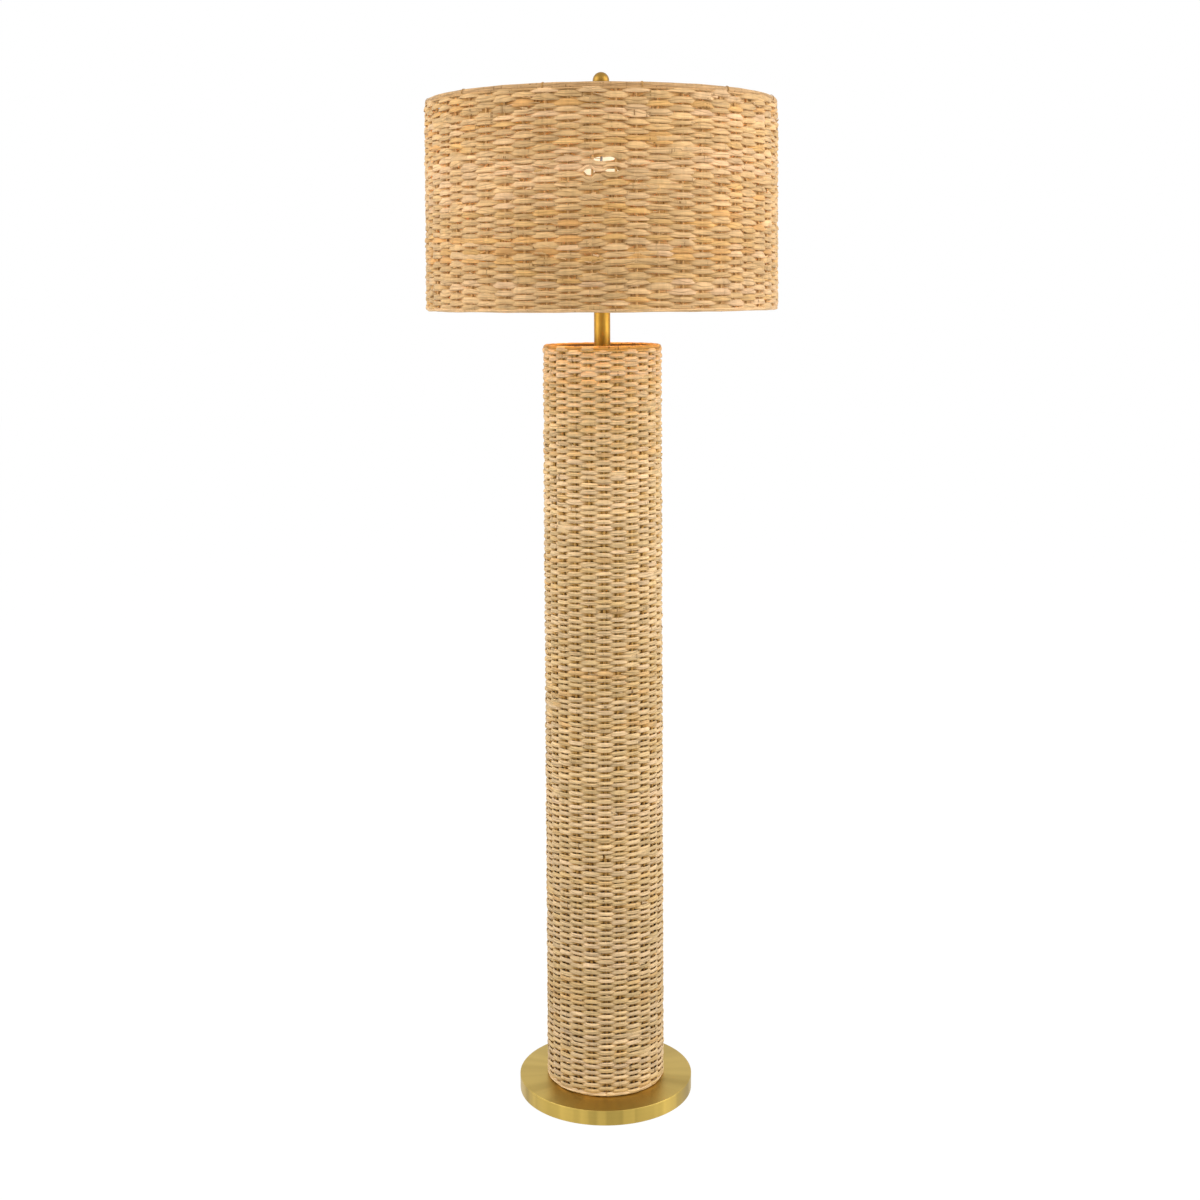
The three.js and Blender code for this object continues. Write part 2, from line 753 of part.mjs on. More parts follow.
// Upper and lower rings joined by upright ribs, just inside the woven wall
function shadeCage() {
  const rib = upright(frameRibRadius, wireSides, frameFoot, frameTop - frameFoot);
  const ribs = ringOf(rib, frameRingRadius, frameRibCount, spiderArmTurn);
  const upper = hoop(frameRingRadius, frameWireRadius, frameTop, frameSegments);
  const lower = hoop(frameRingRadius, frameWireRadius, frameFoot, frameSegments);
  return ribs.add(upper).add(lower);
}

function shadeFlared(solid) {
  return flared(solid, shadeRadius, shadeFlare, shadeHem, shadeRim);
}

const shadeTopRim = borderDown(shadeRadius, shadeWall, shadeBandWall, shadeRim - shadeTopBand, shadeTopBand);
const shadeFootRim = borderUp(shadeRadius, shadeWall, shadeBandWall, shadeHem, shadeBottomBand);
const shadeStakes = stakeCage(shadeStakeCircle, shadeStakeRadius, shadeStakeCount,
  shadeHem + shadeBandWall + fit, shadeRim - shadeBandWall - fit);
const shadeWeave = wovenWall(shadeRadius, shadeWall, shadeStakeCircle, shadeStakeRadius + fit,
  shadeStakeCount, shadeHem + shadeBottomBand + fit, shadeRim - shadeTopBand - fit);
place(shade, 'shade_spider', shadeSpider(), brass);
place(shade, 'shade_cage', shadeFlared(shadeCage()), steel);
place(shade, 'shade_top_band', shadeFlared(shadeTopRim), shadeRattan);
place(shade, 'shade_bottom_band', shadeFlared(shadeFootRim), shadeRattan);
place(shade, 'shade_stakes', shadeFlared(shadeStakes), rattanStake);
place(shade, 'shade_weave', shadeFlared(shadeWeave), shadeRattan);

// Ball finial, screwed on the harp's stud above the hub
function finialBody() {
  const foot = spiderHubThickness + fit;
  const ballCentre = spiderHubThickness + finialReach;
  const start = -Math.acos(finialWaistRadius / finialRadius);
  const profile = [
    [0, foot],
    [finialFootRadius, foot],
    [finialFootRadius, foot + finialFootHeight],
    [finialWaistRadius, foot + 2 * finialFootHeight],
  ];
  for (let i = 0; i < finialArcSteps; i += 1) {
    const turn = start + ((Math.PI / 2 - start) * i) / finialArcSteps;
    profile.push([finialRadius * Math.cos(turn), ballCentre + finialRadius * Math.sin(turn)]);
  }
  profile.push([0, ballCentre + finialRadius]);
  const bore = disc(studRadius + fit, foot - overrun, finialBoreDepth + overrun, smallSegments);
  return revolve(profile, smallSegments * 1.5).subtract(bore);
}
place(shade, 'finial', finialBody(), brass);

export default lamp;
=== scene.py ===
"""Rattan floor lamp: a woven column and drum shade on a satin brass base, with its studio stage."""

import math
from functools import wraps

import bpy
import numpy as np
from bpy.props import FloatProperty, FloatVectorProperty, IntProperty, PointerProperty
from mathutils import Matrix, Vector


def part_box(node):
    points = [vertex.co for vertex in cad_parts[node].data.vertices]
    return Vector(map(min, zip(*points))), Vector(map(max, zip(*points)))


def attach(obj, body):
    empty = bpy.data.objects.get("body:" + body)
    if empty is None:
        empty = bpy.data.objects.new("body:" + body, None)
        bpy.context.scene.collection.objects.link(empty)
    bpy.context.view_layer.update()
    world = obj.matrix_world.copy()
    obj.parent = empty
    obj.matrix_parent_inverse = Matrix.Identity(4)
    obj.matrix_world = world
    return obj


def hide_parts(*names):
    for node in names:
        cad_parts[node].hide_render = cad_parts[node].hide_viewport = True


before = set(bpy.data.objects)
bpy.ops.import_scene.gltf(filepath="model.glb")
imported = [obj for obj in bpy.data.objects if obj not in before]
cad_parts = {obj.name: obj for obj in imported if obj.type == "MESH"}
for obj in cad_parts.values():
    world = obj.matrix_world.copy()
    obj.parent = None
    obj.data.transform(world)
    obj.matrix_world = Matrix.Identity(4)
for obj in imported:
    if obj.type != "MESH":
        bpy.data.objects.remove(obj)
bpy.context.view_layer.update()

bl_info = {
    "name": "Rattan Floor Lamp",
    "version": (1, 0, 0),
    "blender": (4, 5, 0),
    "location": "View3D > Sidebar > Rattan Lamp",
    "description": "Weaves and turns a rattan floor lamp and sets its studio stage",
    "category": "Object",
}

MM = 0.001
TAU = math.tau
FRONT = -math.pi / 2
WIDE_STEPS = 288
TURNED_STEPS = 160
TUBE_STEPS = 96
SMALL_STEPS = 64
SLEEVE_STEPS = 48
ROD_STEPS = 32
ON_AXIS = 1e-7
SHARP_ANGLE = math.radians(38)
PIPE_HOLE = 5.2 * MM
TIES = 12
TIE_SHIFT = 0.047
# How far strands may stand out of the wall, stakes may lean, and the grain of two tones lies apart.
PROUD = 1 * MM
STAKE_LEAN = 1.5 * MM
GRAIN_SHIFT = 7.3
# Strength of the painted glow that the shade's cane gives off in its hollows.
CANE_GLOW = 0.14
# Across and up the harp's bow, from its straight legs to its top.
HARP_BOW_SHARES = ((0.72, 0.12), (0.93, 0.3), (1, 0.5), (0.93, 0.72), (0.68, 0.89), (0.3, 0.98))
# The gaps before the bulb: turn, height, half width, and how far the strands are pushed apart.
BULB_GAPS = (
    (FRONT + 0.015, 1.4285, 14.5 * MM, 3.4 * MM),
    (FRONT - 0.061, 1.4095, 5.5 * MM, 5.2 * MM),
    (FRONT + 0.056, 1.4140, 9 * MM, 3.0 * MM),
)


# Places and outlines

def span(node):
    """A round node's outer radius, foot and top."""
    low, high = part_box(node)
    return (high.x - low.x) / 2, low.z, high.z


def full_turn(steps):
    """Even angles once round."""
    return np.arange(steps) * TAU / steps


def polar(turn, distance, height):
    """Points at given angles round the lamp's axis, distances from it and heights."""
    return np.stack(np.broadcast_arrays(distance * np.cos(turn), distance * np.sin(turn), height), -1)


def outward(turn):
    """Level directions away from the axis."""
    return polar(turn, 1.0, 0.0)


def along_y(start, level):
    """Lays a turned piece down with its axis along Y."""
    return Matrix.Translation((0, start, level)) @ Matrix.Rotation(-math.pi / 2, 4, "X")


def tube_outline(inner, outer, low, high):
    """The closed outline of a plain tube, or of a disc with a hole."""
    return [(inner, low), (outer, low), (outer, high), (inner, high), (inner, low)]


# Mesh making

def link(obj):
    bpy.context.scene.collection.objects.link(obj)
    return obj


def mesh_object(name, points, quads, triangles=None, sharp=None):
    """A smooth-shaded object from arrays of points, four-corner faces and three-corner faces."""
    if triangles is None:
        triangles = np.zeros((0, 3), int)
    mesh = bpy.data.meshes.new(name)
    corners = np.concatenate([np.ravel(quads), np.ravel(triangles)]).astype(np.int32)
    faces = len(quads) + len(triangles)
    starts = np.concatenate([np.arange(len(quads)) * 4, len(quads) * 4 + np.arange(len(triangles)) * 3])
    mesh.vertices.add(len(points))
    mesh.vertices.foreach_set("co", np.asarray(points, np.float32).ravel())
    mesh.loops.add(len(corners))
    mesh.loops.foreach_set("vertex_index", corners)
    mesh.polygons.add(faces)
    mesh.polygons.foreach_set("loop_start", starts.astype(np.int32))
    mesh.polygons.foreach_set("use_smooth", np.ones(faces, bool))
    mesh.update(calc_edges=True)
    if sharp is not None:
        mesh.set_sharp_from_angle(angle=sharp)
    return link(bpy.data.objects.new(name, mesh))


def dress(obj, material, body, slot, *nodes):
    """Gives a piece its material and body, and hides the CAD nodes it stands for. The slot is not used."""
    obj.data.materials.clear()
    obj.data.materials.append(material)
    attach(obj, body)
    if nodes:
        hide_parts(*nodes)
    return obj


def rounded(profile, radius, steps=3):
    """The profile with its corners eased by curves that start at most radius away from them."""
    most_share = 0.45
    points = [Vector(p) for p in profile]
    closed = (points[0] - points[-1]).length < ON_AXIS
    if closed:
        points = points[:-1]
    result = []
    count = len(points)
    for i, corner in enumerate(points):
        if not closed and i in (0, count - 1):
            result.append(corner)
            continue
        before = points[i - 1] - corner
        after = points[(i + 1) % count] - corner
        start = corner + before.normalized() * min(radius, before.length * most_share)
        end = corner + after.normalized() * min(radius, after.length * most_share)
        for step in range(steps + 1):
            t = step / steps
            result.append(start * (1 - t) ** 2 + corner * 2 * t * (1 - t) + end * t ** 2)
    if closed:
        result.append(result[0])
    return [tuple(p) for p in result]


def turned(name, profile, steps=TURNED_STEPS, place=Matrix.Identity(4)):
    """A shape turned about Z from (radius, height) pairs, counter-clockwise, on the axis or closed."""
    closed = Vector(profile[0]) == Vector(profile[-1])
    rings = profile[:-1] if closed else profile
    turn = full_turn(steps)
    points, firsts, quads, triangles = [], [], [], []
    for radius, height in rings:
        firsts.append(len(points))
        if radius < ON_AXIS:
            points.append((0, 0, height))
        else:
            points.extend(zip(radius * np.cos(turn), radius * np.sin(turn), np.full(steps, height)))
    pairs = list(zip(range(len(rings)), range(1, len(rings))))
    if closed:
        pairs.append((len(rings) - 1, 0))
    for low, high in pairs:
        a, b = firsts[low], firsts[high]
        low_point, high_point = rings[low][0] < ON_AXIS, rings[high][0] < ON_AXIS
        for i in range(steps):
            j = (i + 1) % steps
            if low_point and not high_point:
                triangles.append((a, b + j, b + i))
            elif high_point and not low_point:
                triangles.append((a + i, a + j, b))
            elif not low_point:
                quads.append((a + i, a + j, b + j, b + i))
    coordinates = np.array([place @ Vector(p) for p in points])
    fans = np.array(triangles).reshape(-1, 3)
    return mesh_object(name, coordinates, np.array(quads).reshape(-1, 4), fans, SHARP_ANGLE)


class Strands:
    """Gathers tubes of cane or wire into one mesh, with their lengths and tones kept for the material."""

    def __init__(self, sides=8):
        self.sides = sides
        self.points, self.quads, self.triangles = [], [], []
        self.along, self.tones, self.hues = [], [], []
        self.count = 0

    def tube(self, path, radial, upright=None, closed=False, tone=0.5, hue=0.3, out=None):
        """A tube along the path. Radial and upright are its half widths; out is its outward direction."""
        path = np.asarray(path, float)
        length = len(path)
        if closed:
            tangent = np.roll(path, -1, 0) - np.roll(path, 1, 0)
        else:
            tangent = np.gradient(path, axis=0)
        tangent /= np.linalg.norm(tangent, axis=1)[:, None]
        if out is None:
            out = np.cross(tangent, (0.0, 0.0, 1.0))
            upright_runs = np.linalg.norm(out, axis=1) < 0.2
            out[upright_runs] = np.cross(tangent[upright_runs], (0.0, 1.0, 0.0))
        out = out - tangent * np.sum(out * tangent, 1)[:, None]
        out /= np.linalg.norm(out, axis=1)[:, None]
        up = np.cross(tangent, out)
        turn = full_turn(self.sides)
        wide = np.broadcast_to(np.asarray(radial, float), (length,))
        tall = wide if upright is None else np.broadcast_to(np.asarray(upright, float), (length,))
        ring = (out[:, None, :] * (np.cos(turn)[None, :, None] * wide[:, None, None])
                + up[:, None, :] * (np.sin(turn)[None, :, None] * tall[:, None, None]))
        points = (path[:, None, :] + ring).reshape(-1, 3)
        runs = length if closed else length - 1
        i, k = np.meshgrid(np.arange(runs), np.arange(self.sides), indexing="ij")
        j, m = (i + 1) % length, (k + 1) % self.sides
        quads = np.stack([i * self.sides + k, j * self.sides + k, j * self.sides + m, i * self.sides + m], -1)
        self.quads.append(quads.reshape(-1, 4) + self.count)
        if not closed:
            fan = np.arange(1, self.sides - 1)
            first = np.stack([np.zeros_like(fan), fan, fan + 1], 1)
            last = np.stack([np.zeros_like(fan), fan + 1, fan], 1) + (length - 1) * self.sides
            self.triangles.append(first[:, ::-1] + self.count)
            self.triangles.append(last[:, ::-1] + self.count)
        steps = np.linalg.norm(np.diff(path, axis=0), axis=1)
        run = np.concatenate([[0], np.cumsum(steps)]) + GRAIN_SHIFT * tone
        self.along.append(np.repeat(run, self.sides))
        self.tones.append(np.full(len(points), tone))
        self.hues.append(np.full(len(points), hue))
        self.points.append(points)
        self.count += len(points)

    def build(self, name, depth=0.0):
        triangles = np.concatenate(self.triangles) if self.triangles else None
        obj = mesh_object(name, np.concatenate(self.points), np.concatenate(self.quads), triangles)
        around = np.tile(inner_seam(np.arange(self.sides) / self.sides), self.count // self.sides)
        values = [np.concatenate(part) for part in (self.along, self.tones, self.hues)]
        set_strand_values(obj.data, around, *values, np.broadcast_to(depth, self.count))
        return obj


def inner_seam(share):
    """Shares of a turn round a strand, counted from the side that faces inwards."""
    return (share + 0.5) % 1


def set_strand_values(mesh, around, along, tones, hues, depth):
    """Stores where each point lies round and along its strand, its tone and hue, and how deep it lies."""
    values = {"around": around, "along": along, "tone": tones, "hue": hues, "depth": depth}
    for name, data in values.items():
        attribute = mesh.attributes.new(name, "FLOAT", "POINT")
        attribute.data.foreach_set("value", np.asarray(data, np.float32))


def wave(rng, count, reach):
    """A few smooth waves around the axis and up it, as a function of angle and height."""
    terms = [(rng.integers(1, 6), rng.uniform(4, 26), rng.uniform(0, TAU)) for _ in range(count)]

    def value(turn, height):
        total = 0
        for around, rise, start in terms:
            total = total + np.sin(turn * around + height * rise + start)
        return total * reach / count
    return value


def smoothed(table, reach, spiral):
    """Random numbers evened out along each row, or on along the spiral, and kept at unit spread."""
    line = table.reshape(1, -1) if spiral else table
    distance = np.arange(line.shape[1])
    distance = np.minimum(distance, line.shape[1] - distance)
    kernel = np.fft.rfft(np.exp(-0.5 * (distance / reach) ** 2))
    line = np.fft.irfft(np.fft.rfft(line, axis=1) * kernel, n=line.shape[1], axis=1)
    return (line / line.std()).reshape(table.shape)


class Wall:
    """One woven wall: where its stakes stand and how each row of strands runs past them."""

    def __init__(self, setting, name, border_foot, border_top, seed, gaps=()):
        low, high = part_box(f"{name}_bottom_band"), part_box(f"{name}_top_band")
        self.ends = (low[0].z, high[1].z)
        self.widths = ((low[1].x - low[0].x) / 2, (high[1].x - high[0].x) / 2)
        self.stakes = setting.stakes
        self.strand = setting.strand_thickness
        self.full, self.waist = setting.strand_width, setting.strand_waist
        self.stake = setting.stake_radius
        self.foot, self.top = self.ends[0] + border_foot, self.ends[1] - border_top
        self.rows = max(2, round((self.top - self.foot) / setting.row_pitch))
        self.pitch = (self.top - self.foot) / self.rows
        self.uneven, self.slack = setting.unevenness, setting.slack
        self.forward, self.fill, self.start = setting.forward, setting.fill, setting.first_stake
        self.close_top, self.foot_shade, self.fade = setting.close_top, setting.foot_shade, setting.fade
        self.rng = np.random.default_rng(seed)
        self.spiral = self.stakes % 2 == 1
        self.lean = wave(self.rng, 4, STAKE_LEAN / self.widths[0])
        self.spread = self.rng.normal(0, 0.035 * self.uneven, self.stakes)
        self.gaps = gaps
        self.plan_rows()

    def rise(self, height):
        """A height as a share of the way from the wall's foot to its top."""
        return (height - self.ends[0]) / (self.ends[1] - self.ends[0])

    def radius(self, height):
        return self.widths[0] + (self.widths[1] - self.widths[0]) * self.rise(height)

    def faded(self, depth, height):
        """Depths as the material sees them: smaller towards the top, so the painted shade in the dips is
        lighter there.
        """
        return depth * (1 - self.fade * np.clip(self.rise(height), 0, 1))

    def circle(self, height):
        """The circle that the stakes stand on."""
        return self.radius(height) - self.stake - self.strand

    def stake_turn(self, index, height):
        base = FRONT + TAU * (index + self.start + self.spread[index % self.stakes]) / self.stakes
        return base + self.lean(base * 3, height)

    def plan_rows(self):
        """Levels, slips, swells, twists and tones of every crossing, one row more than is woven."""
        rng, shape = self.rng, (self.rows + 1, self.stakes)
        calm_edge, jitter, bulge = 12 * MM, 0.16 * MM, 0.3 * MM
        slip_spread, drift_kept, swell_spread, twist_spread = 0.13, 0.8, 0.085, math.radians(9)
        float_share, least_room, most_room = 0.02, 0.45, 1.7
        row, index = np.arange(shape[0])[:, None], np.arange(self.stakes)[None, :]
        rise = self.pitch * (index / self.stakes - 0.5) if self.spiral else 0
        even = self.foot + self.pitch * (row + 0.5) + rise
        slip = smoothed(rng.normal(size=shape), 1.3, self.spiral) * slip_spread * self.uneven
        drift = np.zeros(shape)
        for line in range(1, shape[0]):
            drift[line] = drift_kept * drift[line - 1] + slip[line]
        edge = np.minimum(even - self.foot, self.top - even)
        calm = np.clip(edge / calm_edge, 0.0, 1.0)
        self.level = even + self.pitch * drift * calm
        self.level += rng.normal(0, jitter * self.uneven, shape) * calm
        step = np.diff(self.level, axis=0) / self.pitch
        step = np.concatenate([step[:1], step, step[-1:]])
        mean, most = (step[1:] + step[:-1]) / 2, np.maximum(step[1:], step[:-1])
        share = np.clip(self.rise(even), 0, 1)
        fill = np.maximum(self.fill, self.close_top * np.clip(4 * share - 2.6, 0, 1))
        self.room = np.clip(mean + (most - mean) * fill, least_room, most_room)
        busy = 0.75 + 0.5 * share
        self.push = rng.normal(0, bulge * self.uneven, shape) * busy
        self.swell = 1 + rng.normal(0, swell_spread * self.uneven, shape) * busy
        self.swell -= self.slack * np.clip(1.1 - 1.3 * share, 0, 1)
        self.twist = rng.normal(0, twist_spread * self.uneven, shape) * busy
        thread = smoothed(rng.normal(size=shape), 7, self.spiral)
        single = rng.normal(size=shape)
        # Painted shade: strands are made darker towards the foot.
        foot_shade = self.foot_shade * np.clip(1 - 1.6 * share, 0, 1)
        self.tone = np.clip(0.5 + 0.14 * thread + 0.17 * single - foot_shade, 0, 1)
        self.hue = np.clip(0.5 + 0.22 * smoothed(rng.normal(size=shape), 9, self.spiral)
                           + 0.13 * rng.normal(size=shape), 0, 1)
        self.side = np.where((row + index) % 2 == 0, 1.0, -1.0)
        inner = (index > 1) & (index < self.stakes - 2)
        floats = (rng.uniform(size=shape) < float_share * self.uneven) & inner
        self.side = np.where(floats, 1.0, self.side)
        self.turn = self.stake_turn(index, self.level) - TAU * index / self.stakes
        self.swell -= 0.9 * self.slack * rng.uniform(-1, 1, self.stakes) * np.clip(1.1 - share, 0, 1)

    def parted(self, level, angle, first, last):
        """How far the strands of some rows are pushed apart by the gaps, and how near they are to one."""
        push, nearest = np.zeros_like(level), np.zeros_like(level)
        for place, height, wide, part in self.gaps:
            index = round((place - FRONT) * self.stakes / TAU - self.start) % self.stakes
            side = np.sign(self.level[first:last, index:index + 1] - height)
            away = (angle - place + math.pi) % TAU - math.pi
            near = np.exp(-(away * self.widths[1] / wide) ** 6 - ((level - height) / (1.7 * self.pitch)) ** 2)
            push += side * part * near
            nearest = np.maximum(nearest, near)
        return push, nearest

    def rows_of(self, table, first, last):
        """Rows first to last of a table, each with the value where its strand goes on at the end."""
        after = table[first + 1:last + 1, :1] if self.spiral else table[first:last, :1]
        return np.concatenate([table[first:last], after], 1)


def weave_piece(wall, first, last, name, bay_steps=6, sides=8):
    """Rows first to last of a wall, woven over one stake and under the next."""
    rows, stakes = last - first, wall.stakes
    row = np.arange(first, last)[:, None]
    step = np.arange(stakes * bay_steps)
    bay, part = step // bay_steps, (step % bay_steps) / bay_steps
    ease = part * part * (3 - 2 * part)

    def fine(table):
        table = wall.rows_of(table, first, last)
        return table[:, bay] * (1 - ease) + table[:, bay + 1] * ease

    level = fine(wall.level)
    angle = fine(wall.turn) + TAU * step / (stakes * bay_steps)
    push, gap = wall.parted(level, angle, first, last)
    level = level + push
    side = wall.rows_of(wall.side, first, last)
    swing = side[:, bay] + (side[:, bay + 1] - side[:, bay]) * (1 - np.cos(math.pi * part)) / 2
    in_front = bay + np.where(side[:, bay] > 0, 0, 1)
    line = np.arange(rows)[:, None]
    reach = wall.stake + wall.strand / 2
    bend = swing + wall.forward * (1 - swing * swing)
    middle = wall.circle(level) + bend * reach + fine(wall.push) * np.maximum(0, bend)
    room = fine(wall.room)
    swell = fine(wall.swell) * (1 - 0.2 * gap)
    belly = (wall.full - wall.waist) * np.maximum(0, bend) * swell
    tall = (wall.waist * np.maximum(1 - gap, swell) + belly) * room / 2
    thick = np.full_like(tall, wall.strand / 2)
    tilt = fine(wall.twist) + 0.3 * (1 - np.abs(swing)) * wall.uneven

    phi = (np.arange(sides) + 0.5) * TAU / sides
    across = np.sign(np.cos(phi)) * np.abs(np.cos(phi)) ** 0.9
    radial = thick[..., None] * across
    upright = tall[..., None] * np.sin(phi) * 1.04
    cos_tilt, sin_tilt = np.cos(tilt)[..., None], np.sin(tilt)[..., None]
    distance = middle[..., None] + radial * cos_tilt - upright * sin_tilt
    distance = np.minimum(distance, wall.radius(level)[..., None] + PROUD)
    height = level[..., None] + radial * sin_tilt + upright * cos_tilt
    ring_count = rows * len(step)
    points = polar(angle[..., None], distance, height).reshape(ring_count * sides, 3)

    runs = ring_count - 1 if wall.spiral else ring_count
    i, k = np.meshgrid(np.arange(runs), np.arange(sides), indexing="ij")
    wrap = 0 if wall.spiral else np.where((i + 1) % len(step) == 0, len(step), 0)
    j, m = i + 1 - wrap, (k + 1) % sides
    quads = np.stack([i * sides + k, j * sides + k, j * sides + m, i * sides + m], -1).reshape(-1, 4)
    triangles = None
    if wall.spiral:
        fan = np.arange(1, sides - 1)
        start_fan = np.stack([np.zeros_like(fan), fan, fan + 1], 1)
        triangles = np.concatenate([start_fan, start_fan[:, ::-1] + (ring_count - 1) * sides])
    obj = mesh_object(name, points, quads, triangles)

    bay_length = TAU * wall.widths[1] / stakes
    along = (row * stakes + step / bay_steps) * bay_length
    # How far each point lies back from the weave's face; the cane material paints shade and glow in the
    # hollows by it.
    depth = wall.faded(np.clip((wall.circle(height) + reach - distance) / (2 * reach), 0, 1), height)
    tone, hue = (wall.rows_of(table, first, last)[line, in_front] for table in (wall.tone, wall.hue))
    around = np.tile(inner_seam(phi / TAU), ring_count)
    values = (np.repeat(np.broadcast_to(part, tone.shape).ravel(), sides) for part in (along, tone, hue))
    set_strand_values(obj.data, around, *values, depth.ravel())
    bake_map(obj.data, i.ravel(), k.ravel(), len(step), rows, sides)
    return obj


def bake_map(mesh, ring, side, row_steps, rows, sides):
    """Lays each strand's faces out as one straight band, so no two faces share any of the map."""
    column, band = ring % row_steps, ring // row_steps
    left, right = column / row_steps, (column + 1) / row_steps
    low = (band * (sides + 1) + side + 0.5) / (rows * (sides + 1))
    high = low + 1 / (rows * (sides + 1))
    corners = ((left, low), (right, low), (right, high), (left, high))
    corners = np.stack([np.stack(corner, 1) for corner in corners], 1).reshape(-1, 2)
    spare = len(mesh.loops) - len(corners)
    if spare:
        corners = np.concatenate([corners, np.zeros((spare, 2))])
    layer = mesh.uv_layers.new(name="OFBake")
    layer.data.foreach_set("uv", corners.astype(np.float32).ravel())

# Shader nodes

class Nodes:
    """Short calls for one node tree. A value may be a number, a colour or another node's output."""

    def __init__(self, tree):
        self.tree = tree
        tree.nodes.clear()

    def feed(self, sockets, values):
        """Links or sets a node's inputs, by name or number."""
        for key, value in values.items():
            if isinstance(value, bpy.types.NodeSocket):
                self.tree.links.new(value, sockets[key])
            elif sockets[key].type == "RGBA":
                sockets[key].default_value = (*value[:3], 1)
            else:
                sockets[key].default_value = value

    def add(self, kind, inputs=None, **settings):
        node = self.tree.nodes.new(kind)
        for name, value in settings.items():
            setattr(node, name, value)
        self.feed(node.inputs, inputs or {})
        return node

    def math(self, operation, *values, clamp=False):
        node = self.add("ShaderNodeMath", dict(enumerate(values)), operation=operation, use_clamp=clamp)
        return node.outputs[0]

    def plus(self, first, second, clamp=False):
        return self.math("ADD", first, second, clamp=clamp)

    def minus(self, first, second, clamp=False):
        return self.math("SUBTRACT", first, second, clamp=clamp)

    def times(self, first, second):
        return self.math("MULTIPLY", first, second)

    def larger(self, first, second):
        return self.math("MAXIMUM", first, second)

    def mix(self, factor, first, second, blend="MIX"):
        inputs = {"Factor": factor, 6: first, 7: second}
        return self.add("ShaderNodeMix", inputs, data_type="RGBA", blend_type=blend).outputs[2]

    def shaded(self, colour, shade):
        """A colour made lighter or darker by a value around one."""
        grey = self.add("ShaderNodeCombineColor", {0: shade, 1: shade, 2: shade}).outputs[0]
        return self.mix(1.0, colour, grey, "MULTIPLY")

    def remap(self, value, low, high, start=0.0, end=1.0):
        inputs = {"Value": value, "From Min": low, "From Max": high, "To Min": start, "To Max": end}
        return self.add("ShaderNodeMapRange", inputs, clamp=True).outputs[0]

    def vector(self, x=0.0, y=0.0, z=0.0):
        return self.add("ShaderNodeCombineXYZ", {0: x, 1: y, 2: z}).outputs[0]

    def noise(self, vector, scale, detail=3.0, roughness=0.55):
        inputs = {"Vector": vector, "Scale": scale, "Detail": detail, "Roughness": roughness}
        return self.add("ShaderNodeTexNoise", inputs).outputs["Fac"]

    def bump(self, height, strength, distance):
        inputs = {"Height": height, "Strength": strength, "Distance": distance}
        return self.add("ShaderNodeBump", inputs).outputs[0]

    def attribute(self, name):
        return self.add("ShaderNodeAttribute", attribute_name=name).outputs["Fac"]

    def place(self):
        return self.add("ShaderNodeTexCoord").outputs["Object"]

    def group(self, tree, inputs):
        return self.add("ShaderNodeGroup", inputs, node_tree=tree).outputs


def group_tree(name, inputs, outputs):
    """An empty shader node group: its nodes, what it is given and the node that puts its results out."""
    kinds = {"value": "NodeSocketFloat", "vector": "NodeSocketVector"}
    tree = bpy.data.node_groups.new(name, "ShaderNodeTree")
    for socket_name, kind in inputs.items():
        tree.interface.new_socket(name=socket_name, in_out="INPUT", socket_type=kinds[kind])
    for socket_name in outputs:
        tree.interface.new_socket(name=socket_name, in_out="OUTPUT", socket_type=kinds["value"])
    nodes = Nodes(tree)
    return nodes, nodes.add("NodeGroupInput").outputs, nodes.add("NodeGroupOutput")


def cane_group():
    """Long fibres, blotches, short ticks and a crease of cane, from places along and around a strand."""
    if "Cane grain" in bpy.data.node_groups:
        return bpy.data.node_groups["Cane grain"]
    nodes, given, leave = group_tree(
        "Cane grain", {"Along": "value", "Around": "value", "Tone": "value", "Hue": "value"},
        ("Fibre", "Blotch", "Tick", "Crease", "Height"))
    along, around = given["Along"], given["Around"]
    turn = nodes.times(around, TAU)
    seed = nodes.plus(nodes.times(given["Tone"], 19), nodes.times(given["Hue"], 43))

    def lengthwise(scale, detail):
        """Noise that changes only along the strand."""
        return nodes.noise(nodes.vector(nodes.times(along, scale), seed), 1.0, detail, 0.5)

    ring_x, ring_y = (nodes.times(nodes.math(part, turn), 0.9) for part in ("COSINE", "SINE"))
    fibre = nodes.noise(nodes.vector(ring_x, ring_y, nodes.plus(nodes.times(along, 13), seed)), 2.3, 5, 0.62)
    blotch = nodes.plus(nodes.times(lengthwise(40.0, 1), 0.55), nodes.times(lengthwise(190.0, 2), 0.45))
    # The ticks and the crease are dark marks that the cane material uses as painted shade: the crease as
    # shade in its groove, the ticks in the dips and in dark blotches.
    patches = nodes.noise(nodes.vector(nodes.times(along, 90), nodes.times(around, 9), seed), 1.0, 0, 0.5)
    tick = nodes.times(nodes.remap(lengthwise(330.0, 1), 0.56, 0.66), nodes.remap(patches, 0.48, 0.56))
    middle = nodes.plus(0.5, nodes.remap(lengthwise(25.0, 1), 0.3, 0.7, -0.11, 0.11))
    away = nodes.math("ABSOLUTE", nodes.minus(around, middle))
    crease = nodes.times(nodes.remap(away, 0.0, 0.035, 1.0, 0.0),
                         nodes.remap(lengthwise(14.0, 1), 0.42, 0.52))
    height = nodes.minus(fibre, nodes.times(nodes.larger(tick, crease), 0.7))
    nodes.feed(leave.inputs, {
        "Fibre": fibre, "Blotch": blotch, "Tick": tick, "Crease": crease, "Height": height,
    })
    return nodes.tree


